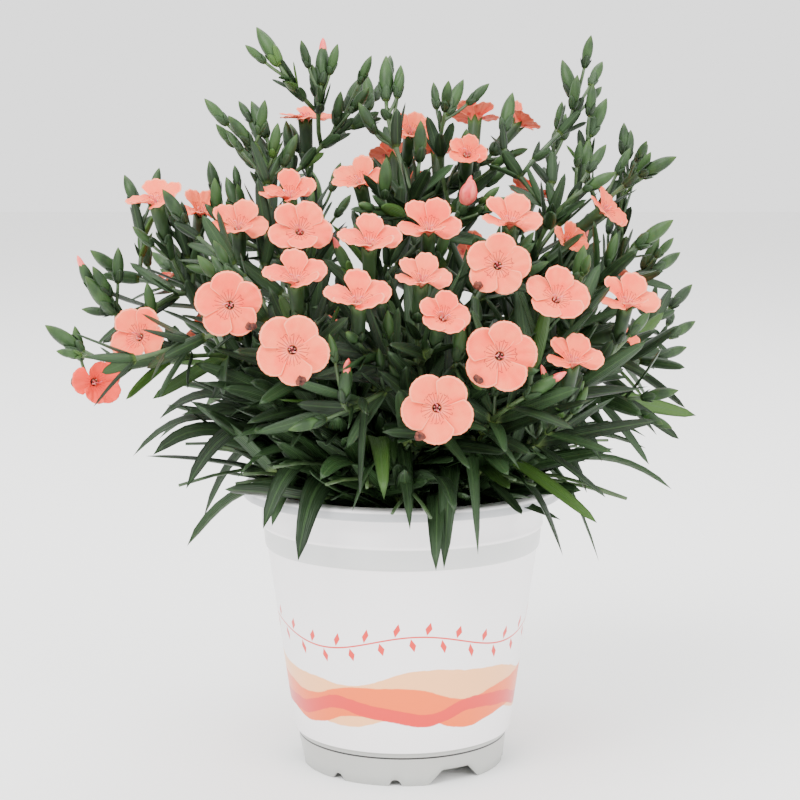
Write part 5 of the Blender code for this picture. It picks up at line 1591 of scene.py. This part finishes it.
undergrowth = {
    "count": 96, "turnStep": 137.5, "reach": 37.0, "sunk": 1, "lean": (12, 58, 12), "rise": (22, 62),
    "turnStray": 30, "radius": 0.95, "taper": 0.35, "pairSpacing": 9, "pairTurn": 0.4, "spread": (24, 58),
    "leaf": (28, 50), "tip": 0.95, "swing": (0.0, 0.25), "droop": (0.0, 0.3), "half": (2.5, 3.5),
    "tones": 0.85, "twist": 0.6, "skirt": (64.0, 0.75), "rim": (50, 2),
}


# Whether points keep off the pot's rim and inside a skirt that widens upwards from it.
def insideSkirt(points):
    (start, slope), (inner, over) = undergrowth["skirt"], undergrowth["rim"]
    reach, rise = np.linalg.norm(points[:, :2], axis=1), points[:, 2] - potSize["height"]
    return not (((reach > inner) & (rise < over)) | (reach > start + slope * rise)).any()


# Short barren shoots fill the foot of the plant: each a stalk that leans out, with leaf pairs up it.
def makeUndergrowth():
    plan, sheaf = undergrowth, Sheaf()
    for k in range(plan["count"]):
        azimuth = plan["turnStep"] * k
        share = math.sqrt((k + 0.5) / plan["count"])
        root = looking(azimuth) * plan["reach"] * share + vec(0, 0, potSize["soilTop"] - plan["sunk"])
        upright, outer, stray = plan["lean"]
        lean = math.radians(upright + outer * share + within(stray, chance))
        rise = chance.uniform(*plan["rise"])
        way = looking(azimuth + within(plan["turnStray"], chance))
        top = root + (way * math.sin(lean) + vec(0, 0, math.cos(lean))) * rise
        curve = (root, root + vec(0, 0, rise * 0.5), top)
        t = np.linspace(0, 1, 8)
        rings = roundRings(bezier(curve, t), plan["radius"] - plan["taper"] * t, 7, slanted)
        sheaf.tube(rings, greenSlots["stem"], tone=chance.random())
        pairs = max(2, int(rise / plan["pairSpacing"]))
        for pair in range(pairs + 1):
            here = min((pair + 0.7) / (pairs + 0.7), 0.98)
            at, up, u, v = middleFrame(bezier(curve, (here - 0.02, here, here + 0.02)), slanted)
            for half in (0, math.pi):
                turn = math.pi / 2 * pair + half + within(plan["pairTurn"], chance)
                out = u * math.cos(turn) + v * math.sin(turn)
                spread = math.radians(chance.uniform(*plan["spread"]) * (0.5 if pair == pairs else 1))
                length = chance.uniform(*plan["leaf"])
                aim = up * math.cos(spread) + out * math.sin(spread)
                tip = at + aim * length * plan["tip"] + way * length * chance.uniform(*plan["swing"])
                tip = tip - vec(0, 0, length * chance.uniform(*plan["droop"]))
                leaf = (at, at + aim * length * 0.5, tip)
                if sparesBlooms(along(leaf)) and insideSkirt(along(leaf)):
                    halfWidth, tone = chance.uniform(*plan["half"]), chance.random() * plan["tones"]
                    addBlade(sheaf, greenSlots["leaf"], leaf, unit(np.cross(aim, up)), halfWidth, tone,
                             within(plan["twist"], chance))
    return sheaf.make("undergrowth", finishes, "leaf")


makeUndergrowth()
for shoot in shoots:
    name = shoot["node"].replace("leafy_stem_", "leafyStem")
    sheaves[shoot["node"]].make(name, finishes, "leaf", shoot["node"])
print("greenery made")

# By a bloom's place in the front view: how coral it is, and where its withered spot shows.
corals = {(96, 382): 1.1, (201, 210): 0.45, (411, 131): 0.4, (567, 239): 0.4}
blotches = {
    (229, 305): (252, 327), (292, 350): (302, 381), (498, 265): (478, 287), (500, 356): (478, 379),
    (437, 408): (420, 436),
}
blotchForm = {
    "strands": 3, "height": 1.9, "half": 1.4, "stray": 0.6, "wander": 0.3, "end": 0.3, "radii": (0.6, 1.1),
}
places = [row[:2] for row in frontBlooms] + [None] * len(hidden["blooms"])


# A withered spot on a bloom, where the line of sight at this place of the picture meets it.
def addBlotch(sheaf, bloom, across, down):
    ray = seenAt(across, down, 0.0) - eye
    form, look = blotchForm, bloom["look"]
    at = eye + ray * ((bloom["at"] - eye) @ look) / (ray @ look) + look * form["height"]
    side = unit(np.cross(look, vec(0.2, 0.1, 1.0)))
    for k in range(form["strands"]):
        line = at + side * np.linspace(-form["half"], form["half"], 6)[:, None]
        line = line + unit(vec(*(within(1, chance) for _ in "xyz"))) * form["stray"]
        wander = [within(form["wander"], chance) for _ in line]
        line = line + look * np.array(wander)[:, None]
        radii = [form["end"]] + [chance.uniform(*form["radii"]) for _ in line[2:]] + [form["end"]]
        sheaf.tube(roundRings(line, radii, 9, look, 0.2), bloomSlots["withered"])


for bloom, spot in zip(blooms, places):
    sheaf = Sheaf()
    bloom["coral"] = corals.get(spot, 0.0)
    addBloom(sheaf, bloomSlots, bloom, chance)
    if spot in blotches:
        addBlotch(sheaf, bloom, *blotches[spot])
    sheaf.make(bloom["node"].replace("bloom_", "openBloom"), bloomFinishes, "petal", bloom["node"])

halfOpen = {
    "place": (466, 200), "start": 4.6, "height": 9.6, "radius": 3.5, "egg": (0.14, 0.84, 0.75), "rows": 16,
    "columns": 36, "petals": 3, "turn": 0.9, "overlap": 0.16,
}


# A bud about to open, over the bud that the front view shows there: an egg of furled coral petals. Each
# petal swells out from 1 - overlap to 1 of the egg's radius round to its edge, and the edges wind upwards.
def makeHalfOpenBud():
    head = next(head for head, row in zip(heads[len(blooms):], frontBuds) if row[:2] == halfOpen["place"])
    t = np.linspace(0, 1, halfOpen["rows"])
    line = headFoot(head) + head["look"] * (halfOpen["start"] + halfOpen["height"] * t)[:, None]
    low, span, power = halfOpen["egg"]
    radii = halfOpen["radius"] * np.sin(np.pi * (low + span * t)) ** power
    rings = roundRings(line, radii, halfOpen["columns"], squareTo(head["look"]))
    around = np.arange(halfOpen["columns"]) / halfOpen["columns"]
    furl = (around * halfOpen["petals"] + halfOpen["turn"] * t[:, None]) % 1
    swell = 1 - halfOpen["overlap"] * (1 - furl[..., None])
    sheaf = Sheaf()
    sheaf.tube(line[:, None] + (rings - line[:, None]) * swell, 0, along=t, tone=0.5)
    return sheaf.make("halfOpenBud", [petalTipFinish()], "petal")


makeHalfOpenBud()
print("blooms made")


potForm = {
    "columns": 288, "footTop": 7.9, "footRows": (3, 10),
    # radius and height in mm: below the floor and down, under and up the foot
    "outer": ((0.4, 6.0), (20.0, 6.0), (36.9, 6.0), (37.35, 5.5), (37.15, 3.0), (37.0, 0.3), (37.3, 0.0),
              (38.0, 0.0), (38.32, 0.25), (38.75, 4.0), (39.2, 8.0), (39.55, 11.0), (39.75, 11.9),
              # the wall, the step and the collar
              (40.4, 12.7), (40.95, 13.0), (41.15, 13.5), (44.0, 33.7), (47.5, 58.8), (50.6, 80.9),
              (50.8, 82.2), (51.05, 82.75), (51.5, 83.1), (51.75, 83.8), (52.0, 86.8), (52.28, 90.1),
              (52.42, 90.5),
              (52.85, 90.9), (53.0, 91.4), (52.95, 91.9), (52.75, 92.3), (53.2, 98.0), (53.6, 103.2),
              # the underside of the lip
              (54.2, 104.0), (57.9, 104.4), (58.5, 104.1), (58.65, 103.0), (58.75, 102.3), (59.1, 102.0),
              (59.6, 102.0), (60.0, 102.5)),
    "lip": (58.8, 104.8, 1.2),                      # middle and radius of the lip's round edge
    "inner": ((54.0, 106.0), (53.4, 105.8), (52.9, 105.2), (52.2, 104.2), (50.95, 85.2), (49.9, 83.2),
              (49.8, 82.6), (45.0, 48.0), (39.9, 13.6), (39.5, 10.5), (37.6, 7.2), (36.8, 7.0), (0.4, 7.0)),
}
footForm = {
    "arches": (31.0, 151.0, 271.0), "archHeight": 5.2, "archHalf": (8.5, 16.5),     # degrees, top and foot
    "notches": (-38.0, -4.0, 82.0, 116.0, 202.0, 236.0), "notchRadius": 2.3,
}
drains = {"count": 6, "first": 7, "ring": 27.0, "radius": 3.2, "low": 4.0, "high": 9.5}


# Height of the foot's lower edge at an angle: trapezoid arches and half round notches.
def footEdge(angles):
    degrees = np.degrees(angles)
    edge = np.zeros_like(degrees)
    flat, wide = footForm["archHalf"]
    for middle in footForm["arches"]:
        away = np.abs((degrees - middle + 180) % 360 - 180)
        edge = np.maximum(edge, footForm["archHeight"] * np.clip((wide - away) / (wide - flat), 0, 1))
    for middle in footForm["notches"]:
        away = np.radians(np.abs((degrees - middle + 180) % 360 - 180)) * potSize["footRadius"]
        edge = np.maximum(edge, np.sqrt(np.clip(footForm["notchRadius"]**2 - away**2, 0, None)))
    return edge


# The pot: a profile of radius and height turned round the axis, from the middle of the underside out,
# up and over the rim, and down the inside. Below footTop the heights are squeezed to clear the foot's edge.
def makePot():
    x, z, radius = potForm["lip"]
    lip = [(x + radius * math.sin(a), z + radius * math.cos(a)) for a in np.linspace(math.pi / 2, 0, 5)]
    profile = np.array([*potForm["outer"], *lip, *potForm["inner"]])
    angles = np.linspace(0, 2 * math.pi, potForm["columns"], endpoint=False)
    radius, height = profile[:, :1], profile[:, 1:]
    edge, footTop, (first, last) = footEdge(angles)[None, :], potForm["footTop"], potForm["footRows"]
    row = np.arange(len(profile))[:, None]
    squeezed = edge + (footTop - edge) * height / footTop
    height = np.where((row >= first) & (row < last), squeezed, height)
    sheaf = Sheaf()
    sheaf.tube(np.stack([radius * np.sin(angles), -radius * np.cos(angles), height], -1), 0)
    firstInside = len(potForm["outer"]) + len(lip)
    sheaf.slots[0] = (sheaf.faces[0].min(1) // potForm["columns"] >= firstInside).astype(int)
    piece = sheaf.make("nurseryPot", [potFinish(), insideFinish()], "pot_plastic", "pot")
    cutDrains(piece)
    return piece


# Round drain holes through the floor, cut by short prisms that are then removed.
def cutDrains(piece):
    sheaf = Sheaf()
    for k in range(drains["count"]):
        spot = looking(drains["first"] + 360 / drains["count"] * k) * drains["ring"]
        line = np.array([spot + vec(0, 0, height) for height in (drains["low"], drains["high"])])
        sheaf.tube(roundRings(line, np.array([drains["radius"]] * 2), 20, vec(1, 0, 0)), 0)
    data = bpy.data.meshes.new("drains")
    data.from_pydata((np.vstack(sheaf.points) * mm).tolist(), [], np.vstack(sheaf.faces).tolist())
    cutter = newObject("drains", data)
    cut = piece.modifiers.new("drains", "BOOLEAN")
    cut.operation, cut.solver, cut.object = "DIFFERENCE", "EXACT", cutter
    bpy.context.view_layer.update()
    data = bpy.data.meshes.new_from_object(piece.evaluated_get(bpy.context.evaluated_depsgraph_get()))
    piece.modifiers.clear()
    piece.data = data
    bpy.data.objects.remove(cutter)


makePot()
print("pot made")


# Smooth noise over the plane: a sum of sines in turned directions, each finer and weaker.
def lumps(x, y, size, count):
    total = 0
    for k in range(count):
        angle, scale = 2.4 * k + 0.7, 1.75**k / size
        forth = (x * math.cos(angle) + y * math.sin(angle)) * scale
        across = (y * math.cos(angle) - x * math.sin(angle)) * scale * 0.9
        total = total + np.sin(forth + 1.3 * k) * np.sin(across + 2.1 * k) / 1.6**k
    return total


compostForm = {
    "columns": 160, "wall": ((0.5, 7.4), (37.0, 7.4), (39.4, 13.6), (49.3, 82.8), (50.4, 85.2), (51.0, 93.4),
                             (50.6, 94.2)),
    "top": 94.9, "topRadii": (49.8, 0.6, 62), "lumps": ((0, 2.4, 5, 0.55), (40, 8.0, 2, 0.6)),
    "crumbs": 420, "crumbReach": 49, "crumbSize": (0.5, 1.7), "crumbHeight": (95.2, 0.2),
    "crumbLength": (1, 2.2), "crumbTilt": 0.3, "crumbRadii": (0.3, 0.6),
    "crumbShares": (0.12, 0.4, 0.75, 1.0),
}


# The compost fills the pot: flat below, with a lumpy top that is strewn with crumbs and fibres.
def makeCompost():
    form, sheaf = compostForm, Sheaf()
    wall = form["wall"]
    profile = np.array([*wall, *((radius, form["top"]) for radius in np.linspace(*form["topRadii"]))])
    angles = np.linspace(0, 2 * math.pi, form["columns"], endpoint=False)
    x, y = profile[:, :1] * np.sin(angles), -profile[:, :1] * np.cos(angles)
    isTop = np.arange(len(profile))[:, None] >= len(wall)
    relief = sum(lumps(x + shift, y, size, count) * rise for shift, size, count, rise in form["lumps"])
    height = profile[:, 1:] + np.where(isTop, relief, 0)
    sheaf.tube(np.stack([x, y, height], -1), 0)
    t = np.array(form["crumbShares"])
    level, rise = form["crumbHeight"]
    for k in range(form["crumbs"]):
        r, a = form["crumbReach"] * math.sqrt(chance.random()), chance.uniform(0, 2 * math.pi)
        size = chance.uniform(*form["crumbSize"])
        at = vec(r * math.sin(a), -r * math.cos(a), level + size * rise)
        way = unit(vec(within(1, chance), within(1, chance), within(form["crumbTilt"], chance)))
        line = at + way * size * chance.uniform(*form["crumbLength"]) * (t[:, None] - 0.5)
        radii = size * np.array([chance.uniform(*form["crumbRadii"]) for _ in t])
        sheaf.tube(roundRings(line, radii, 6, vec(0.1, 0.2, 0.97)), 0)
    return sheaf.make("potCompost", [compostFinish()], "compost", "soil")


deadLeaves = {
    "spots": ((-28, 20), (-18, 24), (24, 18), (44, 14), (100, 18), (150, 22), (200, 20), (260, 16),
              (320, 20)),
    "reach": 44, "height": 96.5, "turn": 120, "arch": 7, "tip": 1.5, "half": 1.5, "twist": 1.8,
}


# Dead leaves: brown curled blades that lie on the compost inside the rim, turned left and right by turns.
def makeDeadLeaves():
    sheaf = Sheaf()
    for number, (azimuth, length) in enumerate(deadLeaves["spots"]):
        root = looking(azimuth) * deadLeaves["reach"] + vec(0, 0, deadLeaves["height"])
        out = looking(azimuth + deadLeaves["turn"] * (1 if number % 2 else -1)) * length
        bend, tip = out * 0.5 + vec(0, 0, deadLeaves["arch"]), out + vec(0, 0, deadLeaves["tip"])
        curve = (root, root + bend, root + tip)
        addBlade(sheaf, 0, curve, looking(azimuth), deadLeaves["half"], 0.5, deadLeaves["twist"])
    return sheaf.make("deadLeaves", [witheredFinish()], "leaf")


makeCompost()
makeDeadLeaves()
print("compost made")


stageLook = {"floor": (246, 246, 245), "half": 6.0}


# The floor: a flat square, large enough to have no edge in view.
def makeFloor():
    half = stageLook["half"]
    corners = [(-half, -half, 0), (half, -half, 0), (half, half, 0), (-half, half, 0)]
    data = bpy.data.meshes.new("floor")
    data.from_pydata(corners, [], [(0, 1, 2, 3)])
    floor = newObject("floor", data)
    paint = Paint("floor", 0.85)
    paint.shader.inputs["Base Color"].default_value = (*shade(*stageLook["floor"]), 1.0)
    data.materials.append(paint.material)
    floor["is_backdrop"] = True


# Each light's place, size and power; all face a point at the height aim.
lights = {
    "key": ((-0.9, -1.3, 1.7), 1.2, 66.0), "fill": ((1.4, -1.2, 0.9), 1.4, 30.0),
    "top": ((0.1, 0.6, 2.0), 1.4, 32.0), "aim": 0.14, "worldColour": (1.0, 1.0, 1.0), "worldStrength": 1.9,
}


# Soft lights: large squares that face the plant, and a pale sky.
def makeLights():
    for name in ("key", "fill", "top"):
        at, size, power = lights[name]
        lamp = bpy.data.lights.new(name, "AREA")
        lamp.shape, lamp.size, lamp.energy = "SQUARE", size, power
        made = newObject(name, lamp)
        look = -unit(np.array(at) - vec(0, 0, lights["aim"]))
        made.location = at
        made.rotation_euler = (math.acos(-look[2]), 0, math.atan2(look[1], look[0]) - math.pi / 2)
    world = bpy.data.worlds.new("pale sky")
    bpy.context.scene.world = world
    world.use_nodes = True
    sky = world.node_tree.nodes["Background"]
    sky.inputs["Color"].default_value = (*lights["worldColour"], 1.0)
    sky.inputs["Strength"].default_value = lights["worldStrength"]


# The camera at the front view's eye: its focal length is to its sensor as the view's is to the picture.
def makeCamera():
    lens = bpy.data.cameras.new("camera")
    lens.sensor_width = 36.0
    lens.lens = lens.sensor_width * view["focal"] / (2 * view["centre"])
    made = newObject("camera", lens)
    made.location = [c * mm for c in view["eye"]]
    made.rotation_euler = (math.radians(90 - view["pitch"]), 0, 0)
    bpy.context.scene.camera = made


makeFloor()
makeLights()
makeCamera()
print("stage made")

corners = [[list(map(float, corner)) for corner in box] for box in (cadBox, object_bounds())]
